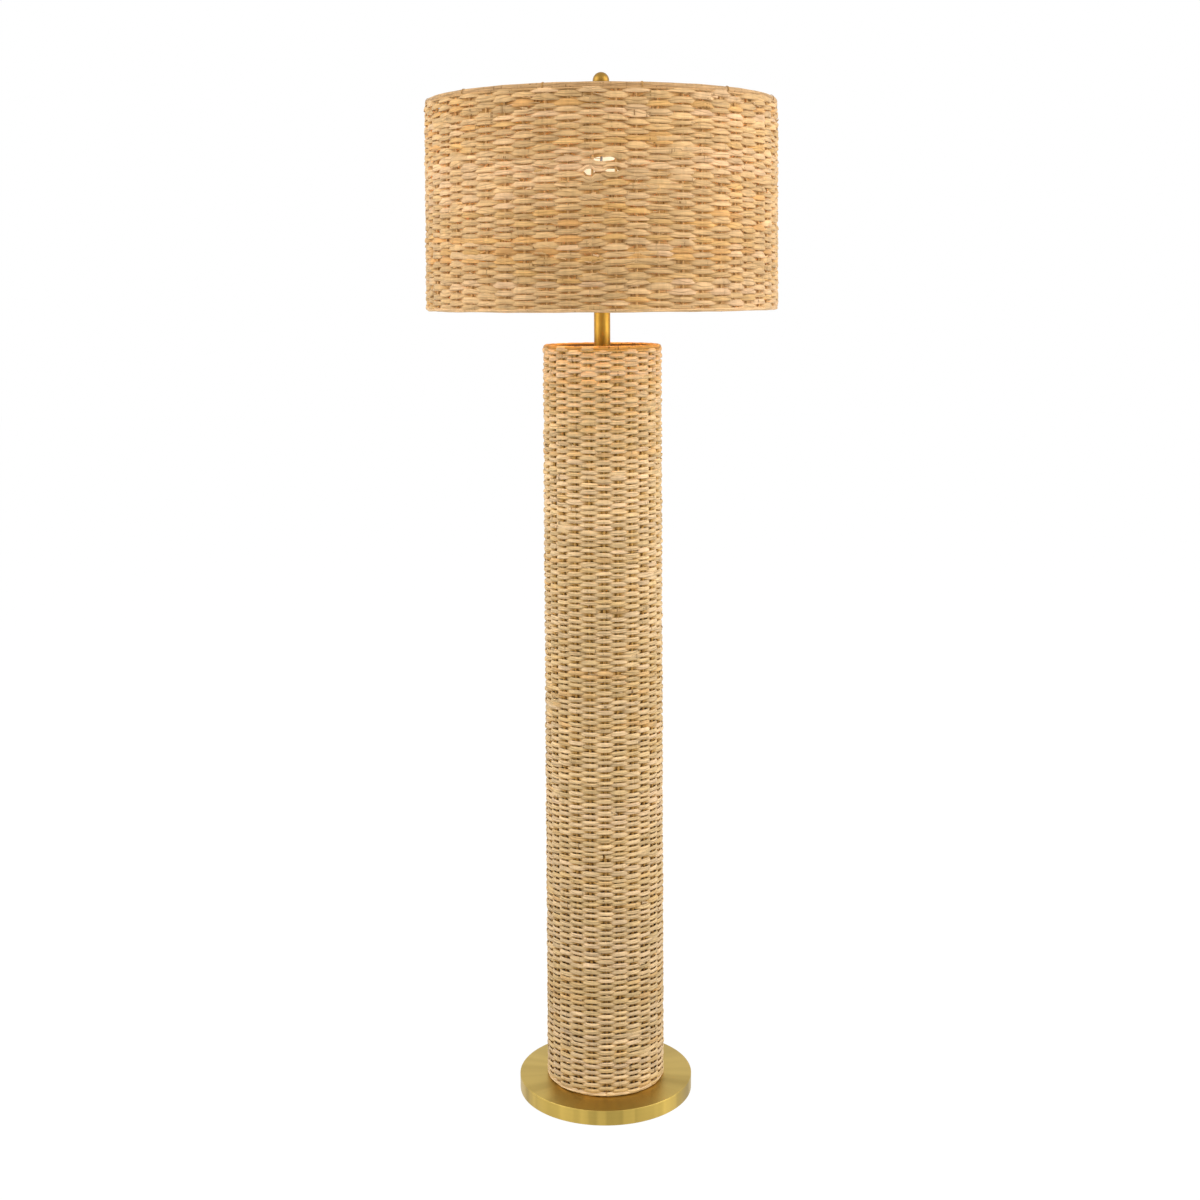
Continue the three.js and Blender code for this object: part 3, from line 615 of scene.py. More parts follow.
def spun_group():
    """Circular brushing about the Z axis: fine rings, and wedges and broad bands round the axis that, as
    colour, are painted reflections, the bands darker at the front.
    """
    if "Spun metal" in bpy.data.node_groups:
        return bpy.data.node_groups["Spun metal"]
    nodes, given, leave = group_tree(
        "Spun metal", {"Vector": "vector", "Ring scale": "value"}, ("Rings", "Wedges", "Bands"))
    axes = nodes.add("ShaderNodeSeparateXYZ", {0: given["Vector"]}).outputs
    angle = nodes.math("ARCTAN2", axes[1], axes[0])
    flat = nodes.vector(axes[0], axes[1])
    radius = nodes.add("ShaderNodeVectorMath", {0: flat}, operation="LENGTH").outputs["Value"]
    scale = given["Ring scale"]
    rings = nodes.noise(nodes.vector(nodes.times(radius, scale), nodes.times(axes[2], scale)), 1.0, 3, 0.6)
    around = nodes.vector(*(nodes.times(nodes.math(part, angle), 2.2) for part in ("COSINE", "SINE")))
    wedges = nodes.noise(around, 1.6, 2, 0.45)
    # Painted reflection: lobes that darken the bands at the front and lighten them to either side.
    front_reflection_lobes = nodes.math("COSINE", nodes.times(nodes.plus(angle, -FRONT), 5))
    patches = nodes.remap(nodes.noise(around, 2.3, 0, 0.5), 0.46, 0.54, 0.3, 0.7)
    bands = nodes.minus(patches, nodes.times(front_reflection_lobes, 0.3), clamp=True)
    nodes.feed(leave.inputs, {"Rings": rings, "Wedges": wedges, "Bands": bands})
    return nodes.tree


def brushed_group():
    """Fine brushing lines, soft cloudy tarnish and handling marks on metal."""
    if "Brushed metal" in bpy.data.node_groups:
        return bpy.data.node_groups["Brushed metal"]
    nodes, given, leave = group_tree(
        "Brushed metal", {"Vector": "vector", "Stretch": "vector", "Grain": "value"},
        ("Lines", "Clouds", "Marks"))
    stretch = {0: given["Vector"], 1: given["Stretch"]}
    stretched = nodes.add("ShaderNodeVectorMath", stretch, operation="MULTIPLY").outputs[0]
    lines = nodes.noise(stretched, given["Grain"], 3.0, 0.5)
    clouds = nodes.noise(given["Vector"], 9.0, 3, 0.5)
    marks = nodes.remap(nodes.noise(given["Vector"], 60.0, 4, 0.7), 0.62, 0.8)
    nodes.feed(leave.inputs, {"Lines": lines, "Clouds": clouds, "Marks": marks})
    return nodes.tree


# Materials

def blank_material(name):
    material = bpy.data.materials.new(name)
    material.use_nodes = True
    nodes = Nodes(material.node_tree)
    shader = nodes.add("ShaderNodeBsdfPrincipled")
    nodes.add("ShaderNodeOutputMaterial", {"Surface": shader.outputs[0]})
    return material, nodes, shader


def made_once(make):
    """Lets a material be made at its first call, and be found by its name after that."""
    @wraps(make)
    def find_or_make(name, *values, **settings):
        if name in bpy.data.materials:
            return bpy.data.materials[name]
        return make(name, *values, **settings)
    return find_or_make


def darker(tint, share):
    return [part * share for part in tint]


@made_once
def cane_material(name, look, glow=0.0, share=1.0):
    """Split cane: each strand has its own tone, hue and fibres. Ticks darken the blotches and, as painted
    shade, the dips; the crease and hollows get painted shade; with glow, the hollows give a painted glow.
    """
    material, nodes, shader = blank_material(name)
    tone, hue, depth = (nodes.attribute(key) for key in ("tone", "hue", "depth"))
    grain = nodes.group(cane_group(), {
        "Along": nodes.attribute("along"), "Around": nodes.attribute("around"), "Tone": tone, "Hue": hue,
    })
    drift = nodes.noise(nodes.place(), 9.0, 2, 0.5)
    place = nodes.plus(hue, nodes.remap(drift, 0.3, 0.7, -0.12, 0.12), clamp=True)
    colours = nodes.add("ShaderNodeValToRGB", {"Fac": place})
    stops = ((0.0, look.blush), (0.3, look.pale), (0.52, look.tan), (0.7, look.khaki), (0.86, look.gold),
             (1.0, look.ember))
    ramp = colours.color_ramp.elements
    ramp[0].color, ramp[1].color = (*stops[0][1], 1), (*stops[-1][1], 1)
    for position, tint in stops[1:-1]:
        ramp.new(position).color = (*tint, 1)

    shade = nodes.times(nodes.remap(tone, 0.0, 1.0, 0.83 * share, 1.12 * share),
                        nodes.remap(grain["Fibre"], 0.34, 0.66, 0.71, 1.18))
    shade = nodes.times(shade, nodes.remap(grain["Blotch"], 0.35, 0.65, 0.86, 1.1))
    colour = nodes.shaded(colours.outputs[0], shade)
    # Ticks darken the dips, as painted shade, and the darker blotches; the crease adds painted shade in its
    # groove.
    dip_shade_and_blotch = nodes.larger(nodes.remap(depth, 0.12, 0.4), nodes.remap(grain["Blotch"], 0.45, 0.39))
    ticks = nodes.times(nodes.times(grain["Tick"], dip_shade_and_blotch), 0.75)
    marks = nodes.larger(ticks, nodes.times(grain["Crease"], 0.55))
    colour = nodes.mix(marks, colour, darker(look.deep, 0.5))
    # Painted shade: cane that lies back from the face is tinted darker and warmer, and the deepest hollows go
    # towards the deep colour.
    colour = nodes.mix(nodes.remap(depth, 0.08, 0.55), colour, look.recess_shade_tint, "MULTIPLY")
    hollow = nodes.remap(depth, 0.52, 0.95)
    colour = nodes.mix(nodes.times(hollow, look.hollow), colour, look.deep)
    nodes.feed(shader.inputs, {
        "Base Color": colour, "Roughness": nodes.remap(grain["Fibre"], 0.3, 0.7, 0.45, 0.68),
        "Normal": nodes.bump(grain["Height"], 0.45, 0.5 * MM), "Specular IOR Level": 0.17,
        "Sheen Weight": 0.33, "Sheen Roughness": 0.4, "Sheen Tint": (1, 0.84, 0.55),
    })
    # Painted glow: the hollows give off warm light that stands for the bulb's light showing through the
    # weave.
    if glow:
        nodes.feed(shader.inputs, {
            "Emission Color": nodes.mix(hollow, (0, 0, 0), look.glow), "Emission Strength": glow,
        })
    return material


@made_once
def metal_material(name, colour, roughness):
    """Brushed or satin metal with soft clouds of tarnish."""
    material, nodes, shader = blank_material(name)
    finish = nodes.group(brushed_group(), {"Vector": nodes.place(), "Stretch": (1, 1, 40), "Grain": 60.0})
    tint = nodes.mix(nodes.remap(finish["Clouds"], 0.35, 0.7, 0.0, 0.5), colour, darker(colour, 0.8))
    tint = nodes.mix(nodes.times(finish["Lines"], 0.18), tint, darker(colour, 0.6))
    rough = nodes.plus(nodes.remap(finish["Lines"], 0.25, 0.75, roughness - 0.06, roughness + 0.08),
                       nodes.times(finish["Marks"], 0.08))
    nodes.feed(shader.inputs, {
        "Base Color": tint, "Roughness": rough, "Metallic": 1.0,
        "Normal": nodes.bump(finish["Lines"], 0.06, 0.2 * MM),
    })
    return material


@made_once
def spun_material(name, colour, roughness):
    """Circularly brushed metal, with soft radial wedges and bands of painted reflection and a little tarnish.
    """
    material, nodes, shader = blank_material(name)
    place = nodes.place()
    spun = nodes.group(spun_group(), {"Vector": place, "Ring scale": 1400.0})
    finish = nodes.group(brushed_group(), {"Vector": place, "Stretch": (1, 1, 1), "Grain": 90.0})
    # Painted reflection: the wedges and the bands, strongest on the side wall, lighten and darken the colour
    # round the axis.
    shade = nodes.times(nodes.remap(spun["Wedges"], 0.34, 0.66, 0.86, 1.07),
                        nodes.remap(spun["Rings"], 0.3, 0.7, 0.94, 1.04))
    normal = nodes.add("ShaderNodeTexCoord").outputs["Normal"]
    facing_up = nodes.math("ABSOLUTE", nodes.add("ShaderNodeSeparateXYZ", {0: normal}).outputs[2])
    reach = nodes.remap(facing_up, 0.0, 1.0, 0.5, 0.06)
    shade = nodes.times(shade, nodes.plus(1.0, nodes.times(nodes.minus(spun["Bands"], 0.5), reach)))
    tint = nodes.mix(nodes.remap(finish["Clouds"], 0.35, 0.7, 0.0, 0.4), colour, darker(colour, 0.82))
    rough = nodes.plus(nodes.remap(spun["Rings"], 0.25, 0.75, roughness - 0.07, roughness + 0.07),
                       nodes.remap(spun["Wedges"], 0.34, 0.66, 0.05, -0.04))
    nodes.feed(shader.inputs, {
        "Base Color": nodes.shaded(tint, shade), "Metallic": 1.0,
        "Roughness": nodes.plus(rough, nodes.times(finish["Marks"], 0.08)),
        "Normal": nodes.bump(spun["Rings"], 0.12, 0.2 * MM),
    })
    return material


@made_once
def plain_material(name, colour, roughness, scale=200.0, relief=0.2 * MM, contrast=0.25):
    """Moulded, cast or felted stuff: a fine grain that moves colour, roughness and relief."""
    material, nodes, shader = blank_material(name)
    place = nodes.place()
    fine = nodes.noise(place, scale, 4, 0.6)
    wide = nodes.noise(place, scale / 14, 2, 0.5)
    grain = nodes.plus(nodes.times(fine, 0.6), nodes.times(wide, 0.4))
    shade = nodes.remap(grain, 0.35, 0.65, 1 - contrast, 1 + contrast)
    nodes.feed(shader.inputs, {
        "Base Color": nodes.shaded(colour, shade),
        "Roughness": nodes.remap(fine, 0.3, 0.7, roughness - 0.08, roughness + 0.08),
        "Normal": nodes.bump(fine, 0.4, relief),
    })
    return material


def brass():
    look = bpy.context.scene.lamp_metal
    return metal_material("Satin brass", look.brass_colour, look.brass_roughness)


def orange_lit_brass(name="Warm brass", orange_light_tint=(1.08, 0.86, 0.56)):
    """A copy of the brass with the orange light from the shade painted into its colour, for parts near the
    shade.
    """
    look = bpy.context.scene.lamp_metal
    tint = [part * share for part, share in zip(look.brass_colour, orange_light_tint)]
    return metal_material(name, tint, look.brass_roughness + 0.13)


def spun_brass():
    look = bpy.context.scene.lamp_metal
    return spun_material("Spun brass", look.brass_colour, look.brass_roughness + 0.08)


def steel():
    return metal_material("Plated steel", (0.5, 0.5, 0.49), roughness=0.34)


def aluminium():
    return metal_material("Bulb cap alloy", (0.62, 0.62, 0.62), roughness=0.36)


def black_plastic():
    return plain_material("Black moulding", (0.016, 0.015, 0.014), roughness=0.42, scale=260.0,
                          relief=0.1 * MM)


def column_cane():
    return cane_material("Column cane", bpy.context.scene.lamp_column)


def column_rim_cane():
    return cane_material("Column rim cane", bpy.context.scene.lamp_column, share=0.84)


def column_stake_cane():
    return cane_material("Column stake cane", bpy.context.scene.lamp_column)


def shade_cane():
    return cane_material("Shade cane", bpy.context.scene.lamp_shade, glow=CANE_GLOW)


def shade_stake_cane():
    return cane_material("Shade stake cane", bpy.context.scene.lamp_shade, glow=CANE_GLOW)


def shade_rim_cane():
    return cane_material("Shade rim cane", bpy.context.scene.lamp_shade, share=0.82)


# Settings

def length(name, default, description):
    return FloatProperty(name=name, description=description, default=default, min=0, precision=5,
                         unit="LENGTH")


def fraction(name, default, description, most=1.0):
    return FloatProperty(name=name, description=description, default=default, min=0, max=most,
                         subtype="FACTOR")


def amount(name, default, description, unit="NONE"):
    return FloatProperty(name=name, description=description, default=default, unit=unit)


def colour(name, default, description):
    return FloatVectorProperty(name=name, description=description, default=default, min=0, max=1, size=3,
                               subtype="COLOR")


class ColumnSettings(bpy.types.PropertyGroup):
    stakes: IntProperty(name="Stakes", description="Upright stakes round the column", default=25, min=5)
    row_pitch: length("Row pitch", 4.92 * MM, "Height from one woven row to the next")
    strand_width: length("Strand width", 6.3 * MM, "Height of a strand where it passes a stake")
    strand_waist: length("Strand waist", 5.8 * MM, "Height of a strand between two stakes")
    strand_thickness: length("Strand thickness", 2.9 * MM, "Thickness of a strand")
    stake_radius: length("Stake radius", 2.1 * MM, "Radius of an upright stake")
    first_stake: amount("First stake", 0.0, "Turn of the first stake, in stake spacings")
    fill: fraction("Fill", 0.0, "How far strands swell to close the widest gaps")
    forward: fraction("Forward", 0.5, "How much longer a strand lies in front than behind", 0.5)
    unevenness: amount("Unevenness", 1.2, "How irregular the hand weaving is")
    slack: amount("Slack", 0.19, "How much looser the weaving is near the foot")
    # Painted shade: fade lightens the dips' shade towards the top, foot shade darkens strands towards the
    # foot, and hollow sets how dark the dips are painted.
    fade: fraction("Fade", 0.25, "How much lighter the dips are near the top")
    close_top: fraction("Close top", 0.5, "How tightly the upper rows close")
    foot_shade: fraction("Foot shade", 0.22, "How much darker strands are near the foot")
    hollow: fraction("Hollow", 0.96, "How dark cane is where it dips in")
    blush: colour("Blush cane", (0.79, 0.55, 0.305), "Pinkish strands")
    pale: colour("Pale cane", (0.77, 0.54, 0.28), "Light strands")
    tan: colour("Tan cane", (0.75, 0.515, 0.25), "Middle strands")
    khaki: colour("Khaki cane", (0.70, 0.485, 0.225), "Greyer strands")
    gold: colour("Gold cane", (0.72, 0.475, 0.20), "Golden strands")
    ember: colour("Ember cane", (0.71, 0.44, 0.18), "Orange strands")
    # Painted shade: the recess shade tint and the deep colour darken cane that lies back in the dips; the
    # deep colour also darkens ticks and creases.
    recess_shade_tint: colour("Recess shade tint", (0.97, 0.81, 0.4), "Tint of cane that lies back from the face")
    deep: colour("Deep cane", (0.12, 0.03, 0.001), "Hollows, ticks and creases")


class ShadeSettings(bpy.types.PropertyGroup):
    stakes: IntProperty(name="Stakes", description="Upright stakes round the shade", default=52, min=6)
    row_pitch: length("Row pitch", 5.18 * MM, "Height from one woven row to the next")
    strand_width: length("Strand width", 6.9 * MM, "Height of a strand where it passes a stake")
    strand_waist: length("Strand waist", 6.4 * MM, "Height of a strand between two stakes")
    strand_thickness: length("Strand thickness", 2.8 * MM, "Thickness of a strand")
    stake_radius: length("Stake radius", 1.8 * MM, "Radius of an upright stake")
    first_stake: amount("First stake", -0.42, "Turn of the first stake, in stake spacings")
    fill: fraction("Fill", 0.95, "How far strands swell to close the widest gaps")
    forward: fraction("Forward", 0.5, "How much longer a strand lies in front than behind", 0.5)
    unevenness: amount("Unevenness", 1.5, "How irregular the hand weaving is")
    slack: amount("Slack", 0.0, "How much looser the weaving is near the foot")
    # Painted shade: fade lightens the dips' shade towards the top, foot shade darkens strands towards the
    # foot, and hollow sets how dark the dips are painted.
    fade: fraction("Fade", 0.0, "How much lighter the dips are near the top")
    close_top: fraction("Close top", 1.0, "How tightly the upper rows close")
    foot_shade: fraction("Foot shade", 0.4, "How much darker strands are near the foot")
    hollow: fraction("Hollow", 0.44, "How dark cane is where it dips in")
    blush: colour("Blush cane", (0.80, 0.505, 0.26), "Pinkish strands")
    pale: colour("Pale cane", (0.77, 0.49, 0.23), "Light strands")
    tan: colour("Tan cane", (0.73, 0.45, 0.19), "Middle strands")
    khaki: colour("Khaki cane", (0.68, 0.425, 0.18), "Greyer strands")
    gold: colour("Gold cane", (0.74, 0.425, 0.14), "Golden strands")
    ember: colour("Ember cane", (0.73, 0.385, 0.125), "Orange strands")
    # Painted shade and glow: the recess shade tint and the deep colour darken cane that lies back in the
    # dips, and the lit-gaps colour is a painted glow given off there.
    recess_shade_tint: colour("Recess shade tint", (0.96, 0.87, 0.66), "Tint of cane that lies back from the face")
    deep: colour("Deep cane", (0.3, 0.12, 0.015), "Hollows, ticks and creases")
    glow: colour("Lit gaps", (1.0, 0.64, 0.27), "Warm light that shows between the strands")


class MetalSettings(bpy.types.PropertyGroup):
    brass_colour: colour("Brass", (0.555, 0.39, 0.093), "Colour of the satin brass")
    brass_roughness: fraction("Brass roughness", 0.32, "How matte the brass is")


class LightSettings(bpy.types.PropertyGroup):
    camera_distance: length("Camera distance", 2.523, "From the lamp's axis to the camera")
    camera_height: length("Camera height", 1.263, "Camera above the floor")
    camera_tilt: FloatProperty(name="Camera tilt", description="Downward tilt", default=math.radians(10.54),
                               subtype="ANGLE")
    lens: amount("Lens", 50.52, "Focal length", "CAMERA")
    side_power: amount("Side light", 45.0, "Power of each side light", "POWER")
    front_power: amount("Front light", 17.0, "Power of the front light", "POWER")
    spill_power: amount("Spill", 0.7, "Power of the warm light that falls out of the shade's foot", "POWER")
    bulb_power: amount("Bulb", 36.0, "Power of the lit bulb", "POWER")
    sky: amount("Room light", 0.64, "Strength of the even light from all round")
    dark_side: fraction("Dark side", 0.5, "How dark the room behind the camera mirrors in metal")
    glow: colour("Bulb glow", (1.0, 0.6, 0.25), "Colour of the bulb's light")
    daylight: colour("Daylight", (0.91, 0.93, 1.0), "Colour of the side lights")


# Stage

CAMERA_PAN = math.radians(0.12)
CAMERA_ROLL = math.radians(-0.3)
CAMERA_SENSOR = 36
CAMERA_REACH = 60
FLOOR_REACH = 14
SIDE_LIGHT_PLACE, SIDE_LIGHT_AIM, SIDE_LIGHT_SIZE = (2.0, -0.7, 1.65), (0, 0, 0.9), (1.8, 3.0)
SIDE_LIGHT_SHARES = {-1: 1.03, 1: 1.22}
FRONT_LIGHT_PLACE, FRONT_LIGHT_AIM, FRONT_LIGHT_SIZE = (0.2, -3.3, 1.5), (0, 0, 1.0), (2.4, 1.4)
SPILL_SIZE = (0.48, 0.48)
SPILL_LIFT = 10 * MM


def place_camera(scene, setting):
    camera = link(bpy.data.objects.new("Camera", bpy.data.cameras.new("Camera")))
    camera.data.sensor_width = CAMERA_SENSOR
    camera.data.lens = setting.lens
    camera.data.clip_end = CAMERA_REACH
    aim = (Matrix.Rotation(CAMERA_PAN, 4, "Z")
           @ Matrix.Rotation(math.pi / 2 - setting.camera_tilt, 4, "X")
           @ Matrix.Rotation(CAMERA_ROLL, 4, "Z"))
    place = Matrix.Translation((0, -setting.camera_distance, setting.camera_height))
    camera.matrix_world = place @ aim
    scene.camera = camera


def area_light(name, place, aim, size, power, tint=(1, 1, 1)):
    data = bpy.data.lights.new(name, "AREA")
    data.shape, data.energy, data.color = "RECTANGLE", power, tint
    data.size, data.size_y = size
    obj = link(bpy.data.objects.new(name, data))
    obj.location = place
    obj.rotation_euler = (Vector(aim) - Vector(place)).to_track_quat("-Z", "Y").to_euler()
    return obj


def hang_lights(setting):
    across, forward, height = SIDE_LIGHT_PLACE
    for side, strength in SIDE_LIGHT_SHARES.items():
        area_light("Side light", (side * across, forward, height), SIDE_LIGHT_AIM, SIDE_LIGHT_SIZE,
                   setting.side_power * strength, setting.daylight)
    front = area_light("Front light", FRONT_LIGHT_PLACE, FRONT_LIGHT_AIM, FRONT_LIGHT_SIZE,
                       setting.front_power)
    front.visible_glossy = False
    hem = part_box("shade_bottom_band")[0].z
    spill = area_light("Shade spill", (0, 0, hem + SPILL_LIFT), (0, 0, 0), SPILL_SIZE, setting.spill_power,
                       setting.glow)
    spill.data.shape = "DISK"
    spill.visible_camera = spill.visible_glossy = False


def seen_directly(nodes):
    """One where a surface is seen by the camera, in a reflection or through glass."""
    path = nodes.add("ShaderNodeLightPath").outputs
    seen = nodes.larger(path["Is Camera Ray"], path["Is Glossy Ray"])
    return nodes.larger(seen, path["Is Transmission Ray"])


def floor_material():
    """Grey under the lights, and white where it is seen but for the lamp's shadow."""
    material = bpy.data.materials.new("Pale floor")
    material.use_nodes = True
    nodes = Nodes(material.node_tree)
    paint = nodes.add("ShaderNodeBsdfDiffuse", {"Color": (0.42, 0.42, 0.42)})
    shine = nodes.add("ShaderNodeEmission", {"Color": (1, 1, 1), "Strength": 1.1})
    white_share = nodes.times(seen_directly(nodes), 0.88)
    both = nodes.add("ShaderNodeMixShader", {0: white_share, 1: paint.outputs[0], 2: shine.outputs[0]})
    nodes.add("ShaderNodeOutputMaterial", {"Surface": both.outputs[0]})
    return material


def lay_floor():
    half = FLOOR_REACH
    corners = np.array([(-half, -half, 0), (half, -half, 0), (half, half, 0), (-half, half, 0)], float)
    floor = mesh_object("floor", corners, np.array([[0, 1, 2, 3]]))
    floor.data.materials.append(floor_material())


def white_room(setting):
    """A white world that lights the lamp plainly and mirrors darker behind the camera."""
    world = bpy.data.worlds.new("White room")
    world.use_nodes = True
    nodes = Nodes(world.node_tree)
    mirrored = nodes.add("ShaderNodeLightPath").outputs["Is Glossy Ray"]
    heading = nodes.add("ShaderNodeTexCoord").outputs["Generated"]
    ahead = nodes.add("ShaderNodeSeparateXYZ", {0: heading}).outputs[1]
    behind_camera = nodes.times(nodes.remap(ahead, -0.84, -1.0), mirrored)
    white = nodes.minus(1.0, nodes.times(behind_camera, setting.dark_side))
    seen = seen_directly(nodes)
    strength = nodes.plus(nodes.times(seen, white), nodes.times(nodes.minus(1.0, seen), setting.sky))
    sky = nodes.add("ShaderNodeBackground", {"Color": (1, 1, 1), "Strength": strength})
    nodes.add("ShaderNodeOutputWorld", {"Surface": sky.outputs[0]})
    return world


class LAMP_OT_stage(bpy.types.Operator):
    """Set the camera, the pale floor, the soft lights and the white background"""

    bl_idname = "rattan_lamp.stage"
    bl_label = "Stage"

    def execute(self, context):
        scene, setting = context.scene, context.scene.lamp_light
        scene.view_settings.view_transform = "Standard"
        place_camera(scene, setting)
        lay_floor()
        hang_lights(setting)
        scene.world = white_room(setting)
        return {"FINISHED"}


# Base

class LAMP_OT_base(bpy.types.Operator):
    """Turn the brass base cover, its felt pad and the lead's bushing"""

    bl_idname = "rattan_lamp.base"
    bl_label = "Base"

    def execute(self, context):
        radius, foot, top = span("base_cover")
        wall, edge = 1.5 * MM, 0.7 * MM
        outline = [
            (PIPE_HOLE, top - wall), (radius - wall, top - wall), (radius - wall, foot), (radius, foot),
            (radius, top), (PIPE_HOLE, top), (PIPE_HOLE, top - wall),
        ]
        cover = turned("base_cover_spun", rounded(outline, edge, steps=4), WIDE_STEPS)
        dress(cover, spun_brass(), "root", "brass", "base_cover")

        radius, foot, top = span("base_pad")
        hole, edge = 70 * MM, 0.6 * MM
        pad = turned("base_pad_felt", rounded(tube_outline(hole, radius, foot, top), edge))
        felt = plain_material("Brown felt", (0.11, 0.075, 0.045), roughness=0.9, scale=900.0,
                              relief=0.5 * MM, contrast=0.4)
        dress(pad, felt, "root", "felt", "base_pad")

        low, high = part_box("cord_bushing")
        near, far, flange = low.y, high.y, (high.x - low.x) / 2
        bore, body, lip, edge = 2.5 * MM, 4 * MM, 5 * MM, 0.4 * MM
        lip_height, flange_height, bevel = 1.2 * MM, 2 * MM, 1 * MM
        outline = [
            (bore, near), (lip, near), (lip, near + lip_height), (body, near + lip_height),
            (body, far - flange_height), (flange, far - flange_height), (flange, far - bevel),
            (flange - bevel, far), (bore, far), (bore, near),
        ]
        rearward = along_y(0, (low.z + high.z) / 2)
        bushing = turned("cord_bushing_moulded", rounded(outline, edge), SMALL_STEPS, rearward)
        dress(bushing, black_plastic(), "root", "black_plastic", "cord_bushing")
        return {"FINISHED"}


# Woven walls

def woven_pieces(wall, name, count, bay_steps):
    edges = [round(wall.rows * i / count) for i in range(count + 1)]
    return [weave_piece(wall, first, last, f"{name}_{i + 1}", bay_steps)
            for i, (first, last) in enumerate(zip(edges, edges[1:]))]


# The depth given to the stakes sets how much painted recess shade the cane material gives them.
def woven_stakes(wall, name, depth, sides=8):
    foot_gap, top_gap, step = 1 * MM, 2 * MM, 14 * MM
    foot, top = wall.ends[0] + foot_gap, wall.ends[1] - top_gap
    levels = np.linspace(foot, top, max(8, int((top - foot) / step)))
    strands = Strands(sides)
    for index in range(wall.stakes):
        turn = wall.stake_turn(np.full(len(levels), index), levels)
        wobble = wall.stake * (1 + 0.08 * np.sin(levels * 90 + index))
        strands.tube(polar(turn, wall.circle(levels), levels), wobble, tone=wall.rng.uniform(0.2, 0.6),
                     out=outward(turn))
    return strands.build(name, np.tile(np.repeat(wall.faded(depth, levels), sides), wall.stakes))


def rope_border(strands, rng, radius, level, offset, thick, pitch, flat, steps, plies=3):
    """Plies of cane laid round the rim with a long twist."""
    turns = max(1, round(TAU * radius / pitch))
    turn = full_turn(steps)
    for ply in range(plies):
        phase = turn * turns + TAU * ply / plies + 0.3 * np.sin(turn * 5 + ply)
        path = polar(turn, radius + offset * np.cos(phase), level + offset * flat * np.sin(phase))
        swell = 1 + 0.06 * np.sin(turn * 23 + 2 * ply) + 0.04 * np.sin(turn * 41 + ply)
        tone, hue = rng.uniform(0.4, 0.8), rng.uniform(0.05, 0.3)
        strands.tube(path, thick * swell, thick * flat * swell, closed=True, tone=tone, hue=hue,
                     out=outward(turn))


def smooth_border(strands, rng, radius, level, wide, tall, steps, hue, tone):
    """A smooth band of cane round the rim, with two thin beads along its lower edge."""
    turn = full_turn(steps)
    outer_bead, inner_bead, wander = 1.1 * MM, 2.2 * MM, 0.35 * MM
    beads = (
        (0.0, 0.0, wide, tall, hue, tone),
        (wide * 0.72, -tall * 0.95, outer_bead, outer_bead, 0.25, 0.8),
        (-wide * 0.3, -tall * 1.1, inner_bead, inner_bead, 0.4, 0.5),
    )
    for shift, drop, radial, upright, hue, tone in beads:
        lift = wave(rng, 4, wander)(turn, level)
        swell = 1 + 0.03 * np.sin(turn * 23 + hue * 9) + 0.02 * np.sin(turn * 41)
        path = polar(turn, radius + shift, level + drop + lift)
        strands.tube(path, radial * swell, upright * swell, closed=True, tone=tone, hue=hue,
                     out=outward(turn))


def rim_tie(strands, radius, level, wide, tall, place):
    """A loop of split cane tied round the rim at one place."""
    half_thick, half_wide = 0.35 * MM, 1.3 * MM
    turn = full_turn(steps=20)
    path = polar(place, radius + wide * np.cos(turn), level + tall * np.sin(turn))
    strands.tube(path, half_thick, half_wide, closed=True, tone=0.4, hue=0.5,
                 out=polar(place, np.cos(turn), np.sin(turn)))


def stray_ends(wall, name, count, reach, seed):
    """Cut strand ends and loose fibres that stand a little proud of the weave."""
    border_gap, sunk, rise = 4 * MM, 1.8 * MM, 1 * MM
    runs, half_widths, lift_spread = (5, 15), (0.3, 0.9), 1.4
    reaches, flatness, taper, crowding = (0.1, 1.0), (1.0, 2.4), 0.55, 0.8
    rng = np.random.default_rng(seed)
    strands = Strands(sides=6)
    t = np.linspace(0, 1, 7)
    for _ in range(count):
        turn = rng.uniform(0, TAU)
        share = rng.uniform(0, 1) ** crowding
        level = wall.foot + border_gap + (wall.top - wall.foot - 2 * border_gap) * share
        outer = wall.radius(level)
        way = rng.choice([-1, 1])
        run = rng.uniform(*runs) * MM
        lift = rng.normal(0, lift_spread) * MM
        proud = rng.uniform(*reaches) * reach
        angle = turn + way * run * t / outer
        distance = outer - sunk + (proud + rise) * np.sin(t * math.pi * 0.62)
        thick = rng.uniform(*half_widths) * MM * (1 - taper * t)
        tall = thick * rng.uniform(*flatness)
        tone, hue = rng.uniform(0, 1, 2)
        path = polar(angle, distance, level + lift * t * t)
        strands.tube(path, thick, tall, tone=tone, hue=hue, out=outward(angle))
    return strands.build(name)


def dark_shade_sleeve(wall, name):
    """A thin dark tube close inside the stakes and strands, put there as painted shade for the column's
    inside.
    """
    end_gap, clearance, skin = 3 * MM, 0.1 * MM, 0.3 * MM
    levels = np.linspace(wall.ends[0] + end_gap, wall.ends[1] - end_gap, 24)
    outer = wall.circle(levels) - wall.stake - wall.strand - clearance
    outline = [*zip(outer, levels), *zip(outer[::-1] - skin, levels[::-1]), (outer[0], levels[0])]
    return turned(name, outline, TUBE_STEPS)


